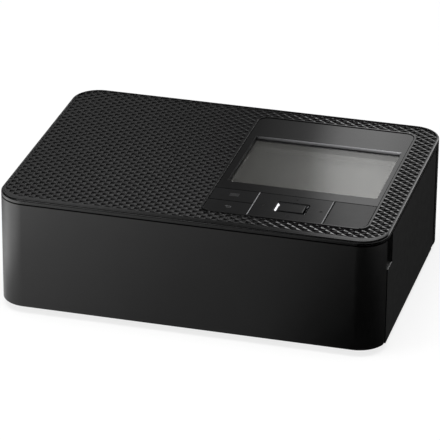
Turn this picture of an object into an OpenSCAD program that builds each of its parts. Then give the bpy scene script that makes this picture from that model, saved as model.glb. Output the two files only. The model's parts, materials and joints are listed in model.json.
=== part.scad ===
// Compact photo printer: a low black box with a patterned top, a flush control panel with a screen,
// a front door that folds down over the paper bay and a side door over the ink cassette.
// Millimetres. X is to the right, Y to the back and Z up; the origin is on the table, under the middle.

/* [Body] */
// Width of the body
body_w = 182.2; // [180:0.1:200]
// Depth of the body
body_d = 133; // [130:0.5:150]
// Height of the body, feet included
body_h = 57.6; // [57:0.1:70]
// Radius of the body's corners, seen from above
corner_r = 13.3; // [11:0.1:16]
// Thickness of the case and door walls
wall_t = 2.2; // [1.8:0.1:2.6]
// Height of the walls' lower edge above the table
wall_z = 3.4; // [3:0.1:5]
// Gap at the seams between case, doors and cover
seam = 0.5; // [0.4:0.05:0.8]

/* [Top cover] */
// Thickness of the top cover
cover_t = 2; // [1.6:0.1:3]
// Radius of the cover's rounded upper edge
cover_edge_r = 0.9; // [0.5:0.1:1.2]
// Depth of the patterned field below the rim
field_depth = 0.4; // [0.2:0.05:0.6]
// Smooth rim at the sides and back of the patterned field
field_rim = 1.1; // [1.1:0.1:3]
// Smooth rim in front of the patterned field
field_front_rim = 2; // [1.2:0.1:5]

/* [Control panel] */
// Width of the control panel
panel_w = 76.6; // [74:0.1:82]
// Distance from the body's right side to the panel
panel_side = 11.5; // [11:0.1:16]
// Distance from the body's front to the panel
panel_front = 14.1; // [13:0.1:20]
// Distance from the body's back to the panel
panel_back = 10.4; // [9:0.1:16]
// Radius of the panel's corners
panel_r = 5; // [3:0.1:7]
// Depth of the panel's face below the cover's rim
panel_drop = 0.3; // [0.1:0.1:0.6]
// Gap around the panel and between its keys
panel_gap = 0.3; // [0.2:0.05:0.4]

/* [Screen] */
// Width of the screen opening
screen_w = 70.3; // [60:0.1:71]
// Depth of the screen opening, front to back
screen_d = 52.5; // [40:0.1:60]
// Distance from the key row to the screen opening
screen_front = 7.8; // [5:0.1:12]
// Depth of the glass below the panel's face
screen_sunk = 1; // [0.5:0.1:1.3]
// Thickness of the display module
display_t = 2.7; // [2:0.1:4]

/* [Keys] */
// Depth of the key row, front to back
keys_d = 25.2; // [22:0.1:28]
// Width of the left pair of keys
left_keys_w = 21.9; // [18:0.1:24]
// Width of the right key
right_key_w = 19.9; // [16:0.1:24]
// Thickness of a key
key_t = 2; // [1.6:0.1:2.4]
// Travel of a key
key_travel = 0.6; // [0.3:0.05:0.7]
// Radius of a key's stem
stem_r = 1.8; // [1.2:0.1:2.2]
// Width of the pocket around the centre key
ok_pocket_w = 15.4; // [14:0.1:18]
// Depth of the pocket around the centre key
ok_pocket_d = 11.1; // [10:0.1:14]
// Width of the centre key
ok_w = 11.8; // [8:0.1:12]
// Depth of the centre key
ok_d = 8.2; // [6:0.1:8.4]
// Distance from the pad's centre to a sideways switch
pad_reach_x = 13.6; // [12:0.1:14]
// Distance from the pad's centre to a forward switch
pad_reach_y = 9.4; // [9:0.1:10]

/* [Doors] */
// Length of the front door's wrap around the body's corners
front_wrap = 10; // [9:0.1:11]
// Distance from the door's front face to its hinge axis
hinge_in = 4.5; // [4.5:0.1:5]
// Height of the front hinge axis above the door's lower edge
hinge_up = 2.5; // [2.5:0.1:3]
// Radius of the hinge pins
pin_r = 1; // [0.8:0.05:1.1]
// Running clearance of a pin in its eye
pin_fit = 0.05; // [0.03:0.01:0.08]
// Radius of a hinge eye
eye_r = 2; // [1.9:0.05:2]
// Distance of a front hinge from the body's side
front_hinge_side = 18.1; // [17:0.1:22]
// Width of a front door lug
lug_w = 6; // [4:0.5:8]
// Distance from the body's back to the side door's hinge axis
side_hinge_back = 18.5; // [17:0.1:22]
// Length of the finger notch
notch_l = 9; // [6:0.1:12]
// Height of the finger notch
notch_h = 15.1; // [10:0.1:18]
// Depth of the finger pocket behind the notch
notch_depth = 5; // [3:0.1:6]

/* [Base] */
// Thickness of the base plate's floor
floor_t = 2; // [1.6:0.1:3]
// Inset of the plinth from the body's sides
plinth_in = 11; // [9:0.5:14]
// Height of the feet below the plinth
foot_h = 1.4; // [1:0.1:2]
// Radius of a foot
foot_r = 6; // [4:0.5:8]
// Depth of a foot's seat in the plinth
foot_seat = 0.6; // [0.3:0.1:0.8]
// Distance of the feet from the plinth's edge
foot_in = 10; // [9:0.5:14]

/* [Paper path] */
// Width of the paper
paper_w = 100; // [89:1:102]
// Height of the paper path above the table
paper_z = 22; // [21.5:0.1:24]
// Height of the paper bay's opening
bay_h = 30.5; // [26:0.5:32]
// Distance from a chassis plate to the paper bay's opening
bay_side = 6.5; // [3:0.1:9]
// Distance from the paper bay's back to the ribbon motor
bay_back = 2.8; // [1:0.1:6]
// Height of the rear paper slot
rear_slot_h = 7; // [5:0.5:8]

/* [Print mechanism] */
// Width of the gear bay between a chassis plate and the case
gear_bay = 22.9; // [21:0.1:25]
// Thickness of a chassis plate
chassis_t = 1; // [0.8:0.1:1.4]
// Height of the chassis plates' upper edge above the floor
chassis_h = 40.8; // [40.4:0.1:44]
// Distance from the rear wall to the platen's axis
platen_back = 50.3; // [49:0.1:52]
// Radius of the platen roller
platen_r = 7; // [6:0.1:7.2]
// Distance from the rear wall to the capstan's axis
capstan_back = 18.3; // [18:0.1:19]
// Radius of the capstan roller
capstan_r = 3; // [2.6:0.1:3.4]
// Radius of the pinch roller
pinch_r = 4; // [3:0.1:4.4]
// Distance from the platen's axis to the pickup roller's axis
pickup_front = 40; // [38:0.5:42]
// Radius of the pickup roller
pickup_r = 8; // [7:0.1:9]
// Distance from the rear wall to the head's pivot
pivot_back = 11.8; // [11.5:0.1:12.5]
// Height of the head's pivot above the paper path
pivot_up = 14; // [13:0.1:15]
// Radius of the head's pivot shaft
pivot_r = 2; // [1.6:0.1:2.4]
// Clearance between pieces that turn past each other
run_gap = 0.35; // [0.3:0.01:0.45]

/* [Ink cassette] */
// Distance from the platen's axis to a spool's axis
spool_reach = 18; // [17.5:0.1:18.6]
// Height of the spools' axes above the paper path
spool_up = 11; // [10.5:0.1:11.2]
// Outer radius of a spool's housing
spool_case_r = 8.3; // [7.6:0.1:8.4]
// Wall of a spool's housing
spool_case_t = 1; // [0.8:0.1:1.3]
// Radius of the wound ribbon
roll_r = 6.4; // [5:0.1:6.6]
// Radius of a spool's journal
journal_r = 2; // [1.6:0.1:2.4]
// Thickness of the ribbon, drawn stouter than it is
ribbon_t = 0.3; // [0.2:0.05:0.3]

/* [Gears] */
// Module of the gears
gear_m = 0.8; // [0.7:0.05:0.8]
// Teeth of the motor pinions
pinion_teeth = 12; // [12:1:13]
// Teeth of the capstan gear
capstan_teeth = 28; // [26:1:30]
// Teeth of the ribbon gear
ribbon_teeth = 24; // [22:1:26]
// Teeth of the ribbon idler
idler_teeth = 34; // [34:1:35]
// Thickness of a gear
gear_t = 4; // [3:0.5:4]
// Play between the teeth, as an angle of a pinion
tooth_play = 1.6; // [1:0.1:2]
// Radius of the belt pulleys
pulley_r = 4.5; // [4:0.1:6]
// Thickness of the drive belt
belt_t = 0.8; // [0.6:0.1:1]

/* [Fan] */
// Side of the fan's square frame
fan_side = 20; // [18:1:22]
// Thickness of the fan
fan_t = 7.6; // [6:0.1:7.8]
// Distance of the fan from the middle, to the left
fan_left = 30; // [26:0.5:36]
// Number of fan blades
fan_blades = 7; // [5:1:9]

/* [Boards] */
// Distance from a chassis plate to the main board
main_board_in = 10; // [6:0.5:14]
// Distance from the case's front edge to the card board
card_board_front = 12; // [12:0.5:14]
// Length of the card board
card_board_l = 43; // [42:0.5:44]
// Distance from the case's front edge to the card slot's middle
card_slot_in = 27.5; // [27:0.1:30]
// Width of the card slot
card_w = 24; // [22:0.5:25]
// Distance from the case's front edge to the data socket's middle
usb_in = 17; // [16.5:0.1:17.4]
// Length of the data socket
usb_l = 7.5; // [6:0.1:10]
// Distance from the cover to the card board
card_board_down = 13.6; // [12:0.1:14]
// Distance from the cover to the power button's axis
power_down = 7.2; // [6.6:0.1:8]
// Height of the tallest part on the main board
part_h = 1.8; // [1:0.1:1.9]

/* [Hidden] */
$fn = 48;
eps = 0.01;
cut = 1;

// Body planes
right_x = body_w / 2;
front_y = -body_d / 2;
rear_y = body_d / 2;
inner_x = right_x - wall_t;
rear_in = rear_y - wall_t;
cover_z = body_h - cover_t;
wall_top = cover_z - seam;
floor_z = wall_z + floor_t;
door_top = wall_top - 0.1;
wrap_y = front_y + front_wrap;
case_front = wrap_y + seam;

// Front hinge
front_hinge_x = right_x - front_hinge_side;
hinge_y = front_y + hinge_in;
hinge_z = wall_z + hinge_up;
swing_gap = 0.3;
base_front = hinge_y + hinge_up + swing_gap;
ear_w = 3;
wrap_corner_r = 1.5;
frame_t = 2;
frame_y = case_front + 0.2;

// Side hinge
side_hinge = [inner_x, rear_y - side_hinge_back];
side_stub_y = side_hinge[1] + wall_t + swing_gap;
side_ear_t = floor_t;
side_pin_l = 5;
notch_top = cover_z - 0.2;

// Control panel
panel_x1 = right_x - panel_side;
panel_x0 = panel_x1 - panel_w;
panel_y0 = front_y + panel_front;
panel_y1 = rear_y - panel_back;
panel_d = panel_y1 - panel_y0;
panel_top = body_h - panel_drop;
keys_y1 = panel_y0 + keys_d;
screen_mid = [(panel_x0 + panel_x1) / 2 + 0.85, keys_y1 + screen_front + screen_d / 2];
pane_lip = 0.9;
pane_lip_t = 0.7;
flange_t = 1.5;
flange_w = 1.2;
tray_wall = 1.2;
tray_floor_z = cover_z - 3.7;
tray_floor_t = 1.2;
key_z = panel_top - key_t;
stem_gap = 0.25;
switch_t = 1.6;
switch_rest = 0.1;
board_t = 1.6;
panel_board_z = tray_floor_z - key_travel - switch_rest - switch_t - board_t;
left_x1 = panel_x0 + left_keys_w;
right_x0 = panel_x1 - right_key_w;
keys_mid_y = (panel_y0 + keys_y1) / 2;
pad_mid = [(left_x1 + right_x0) / 2, keys_mid_y];
pad_ledge = 1.2;
frame_gap = 0.4;
carrier_z = tray_floor_z + tray_floor_t + 0.65;
carrier_t = 0.9;
carrier_w = 22;
carrier_d = 15;
ridge_h = 0.35;
post_r = 2;

// Chassis and paper path
plate_in = inner_x - gear_bay;
plate_out = plate_in + chassis_t;
plate_top = floor_z + chassis_h;
plate_step = 4.8;
bay_half = plate_in - bay_side;
plate_y0 = frame_y + frame_t + 3.8;
plate_y1 = rear_in - 6.3;
platen = [rear_in - platen_back, paper_z - platen_r];
capstan = [rear_in - capstan_back, paper_z + capstan_r + run_gap];
pinch = [capstan[0], paper_z - pinch_r];
pickup = [platen[0] - pickup_front, paper_z + pickup_r + run_gap];
pivot = [rear_in - pivot_back, paper_z + pivot_up];
supply = [platen[0] - spool_reach, paper_z + spool_up];
take_up = [platen[0] + spool_reach, paper_z + spool_up];
roller_half = paper_w / 2 + 5;
shaft_r = 2.5;
pinch_shaft_r = 1.5;
pickup_shaft_r = 2;
bush_t = 1.6;
bush_flange = 1.2;
tie_t = 1.2;
bay_wall = 1.2;

// Ink cassette and head
cassette_x1 = plate_out;
end_t = 2;
spool_half = paper_w / 2 + 2;
spool_flange_t = 1.4;
cassette_x0 = -spool_half - spool_flange_t - 0.4 - end_t;
lock_at = [take_up[0] + spool_case_r + 3.5, supply[1] + 4];
lock_pin_r = 1;
ribbon_z = paper_z + run_gap;
head_z = ribbon_z + ribbon_t + run_gap;
head_t = 1.5;
head_d = 8;
head_half = paper_w / 2 + 3;
sink_d = 12;
sink_base = 3;
head_plate_z = supply[1] + spool_case_r + 0.5;
head_plate_t = 1;
arm_eye_r = 4;

// Gear train, in two layers outside the left chassis plate
ribbon_layer = -plate_out - 1.8 - gear_t;
feed_layer = ribbon_layer - 2 - gear_t;
belt_layer = feed_layer - 2 - gear_t;
belt_w = 3;
motor_r = 7;
motor_l = 24;
motor_z = floor_z + motor_r + 0.8;
motor_shaft_r = 1;
feed_span = gear_m * (pinion_teeth + capstan_teeth) / 2;
feed_at = [capstan[0] - sqrt(feed_span ^ 2 - (capstan[1] - motor_z) ^ 2), motor_z];
ribbon_at = [platen[0] - platen_r - motor_r - 4, motor_z];
idler_a = gear_m * (pinion_teeth + idler_teeth) / 2;
idler_b = gear_m * (idler_teeth + ribbon_teeth) / 2;
ribbon_line = take_up - ribbon_at;
ribbon_span = norm(ribbon_line);
ribbon_dir = atan2(ribbon_line[1], ribbon_line[0]);
idler_cos = (idler_a ^ 2 + ribbon_span ^ 2 - idler_b ^ 2) / (2 * idler_a * ribbon_span);
idler_dir = ribbon_dir + acos(min(idler_cos, 1));
idler_at = ribbon_at + idler_a * [cos(idler_dir), sin(idler_dir)];

// Boards, sockets and fan
main_board_at = [main_board_in - plate_in, tie_y(), plate_top];
main_board_x1 = panel_x0 - flange_w - 0.8;
card_board_z = cover_z - card_board_down;
card_y = [case_front + card_board_front, case_front + card_board_front + card_board_l];
card_mid = case_front + card_slot_in;
card_slot_h = 2.4;
usb_mid = case_front + usb_in;
usb_w = 9;
usb_h = 3.2;
power_at = [case_front + 48, cover_z - power_down];
power_r = 3.6;
power_travel = 1;
power_face = 0.1;
dc_x = plate_out + 5.8;
dc_z = floor_z + 5;
dc_side = 10;
dc_hole_r = 4.6;
dc_bore_r = 2.8;
fan_mid = [-fan_left, paper_z + 5.5 + fan_side / 2];
fan_bore_r = fan_side / 2 - 0.8;
fan_hub_r = 4.5;
boss_r = 3;
boss_at = [
    [-right_x + 7, case_front + 8], [-right_x + 7, rear_y - 9.5],
    [right_x - 7.5, rear_y - 9.5]
];
frame_boss_at = [front_hinge_x + 5, frame_y + frame_t + boss_r];
screw_at = concat(boss_at, [frame_boss_at]);
screw_shank_r = 1.2;

// ---- Shared shapes ----

// A rounded rectangle about the origin
module rounded(w, d, r) {
    square([w - 2 * r, d], center = true);
    square([w, d - 2 * r], center = true);
    for (sx = [-1, 1], sy = [-1, 1])
        translate([sx * (w / 2 - r), sy * (d / 2 - r)]) circle(r);
}

// A rounded rectangle between two corners
module rounded_at(x0, y0, x1, y1, r) {
    translate([(x0 + x1) / 2, (y0 + y1) / 2]) rounded(x1 - x0, y1 - y0, r);
}

// The body's outline, drawn in by some inset
module body_outline(inset = 0) {
    rounded(body_w - 2 * inset, body_d - 2 * inset, corner_r - inset);
}

// A plane figure swept along X between two stations, with its own axes along Y and Z
module along_x(x0, x1) {
    translate([x0, 0, 0]) rotate([90, 0, 90]) linear_extrude(x1 - x0) children();
}

// A round bar along X at a place [y, z]
module x_bar(x0, x1, at, r) {
    translate([x0, at[0], at[1]]) rotate([0, 90, 0]) cylinder(h = x1 - x0, r = r);
}

// A block between two corners
module block(a, b) {
    translate(a) cube(b - a);
}

// Section of a slab from its corner's axis outwards, with a rounded upper edge
module slab_section(r, h, edge) {
    square([r - edge, h]);
    square([r, h - edge]);
    translate([r - edge, h - edge]) circle(edge);
}

// A rounded slab with a rounded upper edge all round
module soft_slab(w, d, r, h, edge) {
    block([r - w / 2, r - d / 2, 0], [w / 2 - r, d / 2 - r, h]);
    for (side = [0:3]) {
        long = side % 2 == 0 ? d : w;
        wide = side % 2 == 0 ? w : d;
        rotate(90 * side) {
            translate([wide / 2 - r, long / 2 - r, 0]) rotate([90, 0, 0])
                linear_extrude(long - 2 * r) slab_section(r, h, edge);
            translate([wide / 2 - r, long / 2 - r, 0])
                rotate_extrude(angle = 90) slab_section(r, h, edge);
        }
    }
}

// Involute gear outline; a tooth points along the first axis
function involute(angle) = tan(angle) * 180 / PI - angle;
function half_tooth(teeth, base_r, r) =
    90 / teeth - tooth_play * pinion_teeth / teeth / 2 + involute(20) - involute(acos(min(1, base_r / r)));
module gear_outline(teeth) {
    pitch_r = gear_m * teeth / 2;
    base_r = pitch_r * cos(20);
    root_r = pitch_r - 1.25 * gear_m;
    tip_r = pitch_r + 0.95 * gear_m;
    flank_r = max(base_r, root_r);
    radii = [root_r, flank_r + eps, (flank_r + pitch_r) / 2, pitch_r, (pitch_r + tip_r) / 2, tip_r];
    turns = [for (r = radii) half_tooth(teeth, base_r, max(r, flank_r))];
    polygon([
        for (tooth = [0:teeth - 1], side = [-1, 1], k = [0:5])
            let (i = side < 0 ? k : 5 - k, a = 360 * tooth / teeth + side * turns[i])
            radii[i] * [cos(a), sin(a)]
    ]);
}

// A gear along X with a tooth at some direction and a bore
module gear(x0, at, teeth, direction, bore_r) {
    translate([x0, at[0], at[1]]) rotate([90, 0, 90]) linear_extrude(gear_t) difference() {
        rotate(direction) gear_outline(teeth);
        circle(bore_r);
    }
}

// A key plate with a stem down its middle
module key(x0, y0, x1, y1, stem) {
    translate([0, 0, key_z]) linear_extrude(key_t) intersection() {
        panel_outline(panel_gap);
        translate([x0, y0]) square([x1 - x0, y1 - y0]);
    }
    translate([stem[0], stem[1], tray_floor_z]) cylinder(h = key_z - tray_floor_z + eps, r = stem_r);
}

// The panel's outline, drawn in by some inset
module panel_outline(inset = 0) {
    rounded_at(
        panel_x0 + inset, panel_y0 + inset, panel_x1 - inset, panel_y1 - inset, max(panel_r - inset, 1)
    );
}

// ---- Case ----

// Left, rear and rear right walls with screw bosses, sockets and vents
module main_case() {
    color("#18181a") {
        difference() {
            union() {
                translate([0, 0, wall_z]) linear_extrude(wall_top - wall_z) difference() {
                    body_outline();
                    body_outline(wall_t);
                }
                for (at = boss_at) case_boss(at);
            }
            block([-right_x - cut, front_y - cut, 0], [right_x + cut, case_front, body_h]);
            block([0, front_y, 0], [right_x + cut, side_stub_y, body_h]);
            rear_cuts();
            left_cuts();
            for (at = boss_at)
                translate([at[0], at[1], floor_z - cut]) cylinder(h = cover_z, r = screw_shank_r + 0.02);
        }
        for (z = [wall_z, wall_top - side_ear_t]) side_ear(z);
    }
}

// A screw boss from the floor to the cover, with a web to the wall
module case_boss(at) {
    translate([at[0], at[1], floor_z]) cylinder(h = cover_z - floor_z, r = boss_r);
    reach = sign(at[0]) * (inner_x + wall_t / 2);
    block([min(at[0], reach), at[1] - 0.8, floor_z], [max(at[0], reach), at[1] + 0.8, wall_top - cut]);
}

// An eye for a side door pin, held by the rear right wall
module side_ear(z) {
    translate([0, 0, z]) linear_extrude(side_ear_t) difference() {
        union() {
            translate(side_hinge) circle(eye_r);
            translate([side_hinge[0] - eye_r, side_hinge[1]])
                square([2 * eye_r, side_stub_y - side_hinge[1] + wall_t]);
        }
        translate(side_hinge) circle(pin_r);
    }
}

// Openings of the rear wall: paper slot, power inlet and fan grille
module rear_cuts() {
    slot_half = paper_w / 2 + 3;
    block(
        [-slot_half, rear_in - cut, paper_z - rear_slot_h / 2],
        [slot_half, rear_y + cut, paper_z + rear_slot_h / 2]
    );
    translate([dc_x, rear_in - cut, dc_z]) rotate([-90, 0, 0]) cylinder(h = wall_t + 2 * cut, r = dc_hole_r);
    for (i = [-2:2])
        block(
            [fan_mid[0] + 3.4 * i - 0.8, rear_in - cut, fan_mid[1] - fan_side / 2 + 3],
            [fan_mid[0] + 3.4 * i + 0.8, rear_y + cut, fan_mid[1] + fan_side / 2 - 3]
        );
}

// Openings of the left wall: card slot, data socket, power button and vents
module left_cuts() {
    card_z = card_board_z + board_t;
    block(
        [-right_x - cut, card_mid - card_w / 2 - 0.4, card_z],
        [-inner_x + cut, card_mid + card_w / 2 + 0.4, card_z + card_slot_h]
    );
    block(
        [-right_x - cut, usb_mid - usb_w / 2 - 0.3, card_board_z - usb_h - 0.2],
        [-inner_x + cut, usb_mid + usb_w / 2 + 0.3, card_board_z]
    );
    x_bar(-right_x - cut, -inner_x + cut, power_at, power_r + 0.25);
    for (i = [0:9])
        block(
            [-right_x - cut, platen[0] + 4 * i, floor_z + 5],
            [-inner_x + cut, platen[0] + 4 * i + 1.6, floor_z + 25]
        );
}

// Patterned lid with a rounded edge and the opening for the control panel
module top_cover() {
    color("#1c1c1e") {
        difference() {
            translate([0, 0, cover_z]) soft_slab(body_w, body_d, corner_r, cover_t, cover_edge_r);
            translate([0, 0, body_h - field_depth]) linear_extrude(cut) difference() {
                rounded_at(
                    field_rim - right_x, front_y + field_front_rim, right_x - field_rim,
                    rear_y - field_rim, corner_r - field_rim
                );
                panel_outline(-1);
            }
            translate([0, 0, cover_z - cut]) linear_extrude(cover_t + 2 * cut) panel_outline();
        }
        skirt_z = cover_z - 2;
        skirt_out = wall_t + 0.3;
        block(
            [-right_x + skirt_out, case_front + 14, skirt_z],
            [-right_x + skirt_out + 1.4, rear_y - corner_r - 4, cover_z + eps]
        );
        block(
            [corner_r - right_x, rear_y - skirt_out - 1.4, skirt_z],
            [right_x - corner_r - 8, rear_y - skirt_out, cover_z + eps]
        );
    }
}

// Floor pan with the plinth, hinge ears and foot seats
module base_plate() {
    color("#151517") difference() {
        union() {
            translate([0, 0, wall_z]) linear_extrude(floor_t) base_outline();
            translate([0, 0, foot_h]) linear_extrude(wall_z - foot_h + eps) plinth_outline();
            for (side = [-1, 1], out = [-1, 1])
                front_ear(side * front_hinge_x + out * (lug_w + ear_w + 2 * swing_gap) / 2);
        }
        for (at = foot_places())
            translate([at[0], at[1], 0]) cylinder(h = foot_h + foot_seat, r = foot_r + 0.1);
        for (at = screw_at) translate([at[0], at[1], 0]) {
            cylinder(h = body_h, r = screw_shank_r + 0.1);
            cylinder(h = wall_z + 0.8, r = 2.6);
        }
        for (i = [-6:6])
            block([6 * i - 1, platen[0] - 8, 0], [6 * i + 1, platen[0] + 8, floor_z + cut]);
    }
}

// Outline of the floor, clear of the walls and of the front door's swing
module base_outline() {
    half = inner_x - 0.3;
    rear_r = corner_r - wall_t - 0.3;
    front_r = 6;
    difference() {
        rounded_at(-half, base_front, half, rear_in - 0.3, front_r);
        translate(side_hinge - [1, 1] * (eye_r + swing_gap))
            square([2 * eye_r + cut, side_stub_y + wall_t - side_hinge[1] + eye_r + 2 * swing_gap]);
        for (side = [-1, 1])
            translate([side * (half - rear_r), rear_in - 0.3 - rear_r]) difference() {
                translate([side > 0 ? 0 : -rear_r - cut, 0]) square(rear_r + cut);
                circle(rear_r);
            }
    }
}

// Outline of the plinth
module plinth_outline() {
    rounded_at(
        plinth_in - right_x, base_front + plinth_in - 4, right_x - plinth_in, rear_y - plinth_in, 6
    );
}

// Centres of the feet
function foot_places() = [
    for (sx = [-1, 1], back = [false, true]) [
        sx * (right_x - plinth_in - foot_in),
        back ? rear_y - plinth_in - foot_in : base_front + plinth_in - 4 + foot_in
    ]
];

// An ear for a front door pin, centred on some x
module front_ear(x) {
    difference() {
        along_x(x - ear_w / 2, x + ear_w / 2) {
            translate([hinge_y, hinge_z]) circle(eye_r);
            translate([hinge_y, hinge_z - eye_r]) square([hinge_up + swing_gap + 2, 2 * eye_r]);
        }
        x_bar(x - ear_w, x + ear_w, [hinge_y, hinge_z], pin_r);
    }
}

// Four soft pads under the plinth
module rubber_feet() {
    color("#232323") for (at = foot_places())
        translate([at[0], at[1], 0]) cylinder(h = foot_h + foot_seat, r = foot_r);
}

// Screws up through the floor
module case_screws() {
    head_z = wall_z + 0.8 - 1.4;
    color("silver") for (at = screw_at) translate([at[0], at[1], 0]) difference() {
        union() {
            translate([0, 0, head_z]) cylinder(h = 1.4, r = 2.3);
            translate([0, 0, head_z]) cylinder(h = 8, r = screw_shank_r);
        }
        translate([-1.6, -0.25, head_z - cut]) cube([3.2, 0.5, cut + 0.6]);
        translate([-0.25, -1.6, head_z - cut]) cube([0.5, 3.2, cut + 0.6]);
    }
}

// ---- Doors ----

// Front door: it wraps both front corners and turns on lugs at its lower edge
module front_door() {
    color("#18181a") difference() {
        union() {
            translate([0, 0, wall_z]) linear_extrude(door_top - wall_z) difference() {
                body_outline();
                body_outline(wall_t);
                translate([-right_x - cut, wrap_y]) square([body_w + 2 * cut, body_d]);
            }
            for (side = [-1, 1]) door_lug(side * front_hinge_x);
            block(
                [corner_r - right_x, front_y + wall_t - eps, door_top - 3],
                [right_x - corner_r, front_y + wall_t + 1.4, door_top - 1.6]
            );
        }
        for (side = [-1, 1])
            x_bar(
                side * front_hinge_x - lug_w, side * front_hinge_x + lug_w,
                [hinge_y, hinge_z], pin_r + pin_fit
            );
        along_x(-right_x - cut, right_x + cut) wrap_corner();
    }
}

// The cut that rounds the wrap's lower rear corner
module wrap_corner() {
    translate([wrap_y - wrap_corner_r, wall_z + wrap_corner_r]) difference() {
        translate([0, -wrap_corner_r - cut]) square(wrap_corner_r + cut);
        circle(wrap_corner_r);
    }
}

// A lug of the front door, centred on some x
module door_lug(x) {
    along_x(x - lug_w / 2, x + lug_w / 2) {
        translate([hinge_y, hinge_z]) circle(eye_r);
        translate([front_y + wall_t - eps, hinge_z - eye_r]) square([hinge_in - wall_t, 2 * eye_r]);
    }
}

// Steel pins of the front door
module front_door_pins() {
    half = lug_w / 2 + swing_gap + ear_w;
    color("silver") for (side = [-1, 1])
        x_bar(side * front_hinge_x - half, side * front_hinge_x + half, [hinge_y, hinge_z], pin_r - 0.02);
}

// Side door over the ink cassette, with the finger notch at its upper front corner
module side_door() {
    barrel_z = [wall_z + side_ear_t + swing_gap, wall_top - side_ear_t - swing_gap];
    color("#18181a") difference() {
        union() {
            block([inner_x, case_front, wall_z], [right_x, side_hinge[1], door_top]);
            translate([side_hinge[0], side_hinge[1], barrel_z[0]])
                cylinder(h = barrel_z[1] - barrel_z[0], r = wall_t);
            finger_pocket();
            for (z = [wall_z + 12, door_top - 14])
                block([inner_x - 1.2, case_front + 16, z], [inner_x + eps, side_hinge[1] - 8, z + 1.2]);
        }
        for (z = [wall_z - cut, barrel_z[1]])
            block(
                [inner_x - 2 * eye_r, side_hinge[1] - eye_r - 2 * swing_gap, z],
                [right_x + cut, side_stub_y, z + barrel_z[0] - wall_z + cut]
            );
        translate([side_hinge[0], side_hinge[1], 0]) cylinder(h = body_h, r = pin_r + pin_fit);
        notch_cut();
    }
}

// Shell of the finger pocket behind the notch
module finger_pocket() {
    block(
        [inner_x - notch_depth, case_front, notch_top - notch_h - 1.2],
        [inner_x + eps, case_front + notch_l + 1.2, door_top]
    );
}

// Hollow of the notch: open to the outside and to the front, with a sloped lower end
module notch_cut() {
    translate([0, case_front + notch_l, 0]) rotate([90, 0, 0]) linear_extrude(notch_l + cut) polygon([
        [inner_x - notch_depth + 1.2, notch_top - notch_h + notch_depth * 0.7],
        [right_x + cut, notch_top - notch_h - cut * 0.4],
        [right_x + cut, door_top - 1.2],
        [inner_x - notch_depth + 1.2, door_top - 1.2]
    ]);
    block([inner_x - eps, case_front - cut, notch_top - 2], [right_x + cut, case_front + notch_l, body_h]);
}

// Pins at the lower and upper end of the side door
module side_door_pins() {
    color("silver") for (z = [wall_z + 0.2, wall_top - side_pin_l - 0.2])
        translate([side_hinge[0], side_hinge[1], z]) cylinder(h = side_pin_l, r = pin_r - 0.02);
}

// Inner front wall with the paper bay's opening and a catch for the door
module front_frame() {
    frame_x1 = inner_x - notch_depth - 0.5;
    frame_x0 = -inner_x + 1;
    boss_top = floor_z + 10;
    color("#202022") {
        difference() {
            union() {
                translate([frame_boss_at[0], frame_boss_at[1], floor_z])
                    cylinder(h = boss_top - floor_z, r = boss_r);
                block(
                    [frame_boss_at[0] - 1, frame_y + frame_t - eps, floor_z],
                    [frame_boss_at[0] + 1, frame_boss_at[1], boss_top]
                );
            }
            translate([frame_boss_at[0], frame_boss_at[1], floor_z - cut])
                cylinder(h = boss_top, r = screw_shank_r + 0.02);
        }
        difference() {
            block([frame_x0, frame_y, floor_z], [frame_x1, frame_y + frame_t, cover_z]);
            block(
                [-bay_half, frame_y - cut, floor_z + bay_wall + 0.4],
                [bay_half, frame_y + frame_t + cut, floor_z + bay_wall + bay_h]
            );
        }
        block([-12, frame_y - 3, cover_z - 6], [12, frame_y + eps, cover_z - 4.5]);
        for (side = [-1, 1])
            block(
                [side * (plate_in + chassis_t / 2) - 0.7, frame_y + frame_t - eps, floor_z],
                [side * (plate_in + chassis_t / 2) + 0.7, plate_y0, plate_top - plate_step]
            );
    }
}

// Floor, sides and low back of the paper bay
module paper_bay() {
    bay_y0 = frame_y + frame_t;
    bay_y1 = ribbon_at[0] - motor_r - bay_back;
    color("#26262a") difference() {
        union() {
            block([-bay_half - bay_wall, bay_y0, floor_z], [bay_half + bay_wall, bay_y1, floor_z + bay_wall]);
            for (side = [-1, 1])
                translate([side * (bay_half + bay_wall / 2), 0, floor_z])
                    block([-bay_wall / 2, bay_y0, 0], [bay_wall / 2, bay_y1, bay_wall + bay_h]);
            block(
                [-bay_half - bay_wall, bay_y1 - bay_wall, floor_z],
                [bay_half + bay_wall, bay_y1, paper_z - 4]
            );
        }
        x_bar(-bay_half - 2 * bay_wall, bay_half + 2 * bay_wall, pickup, pickup_shaft_r + 0.4);
    }
}

// ---- Control panel ----

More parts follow.
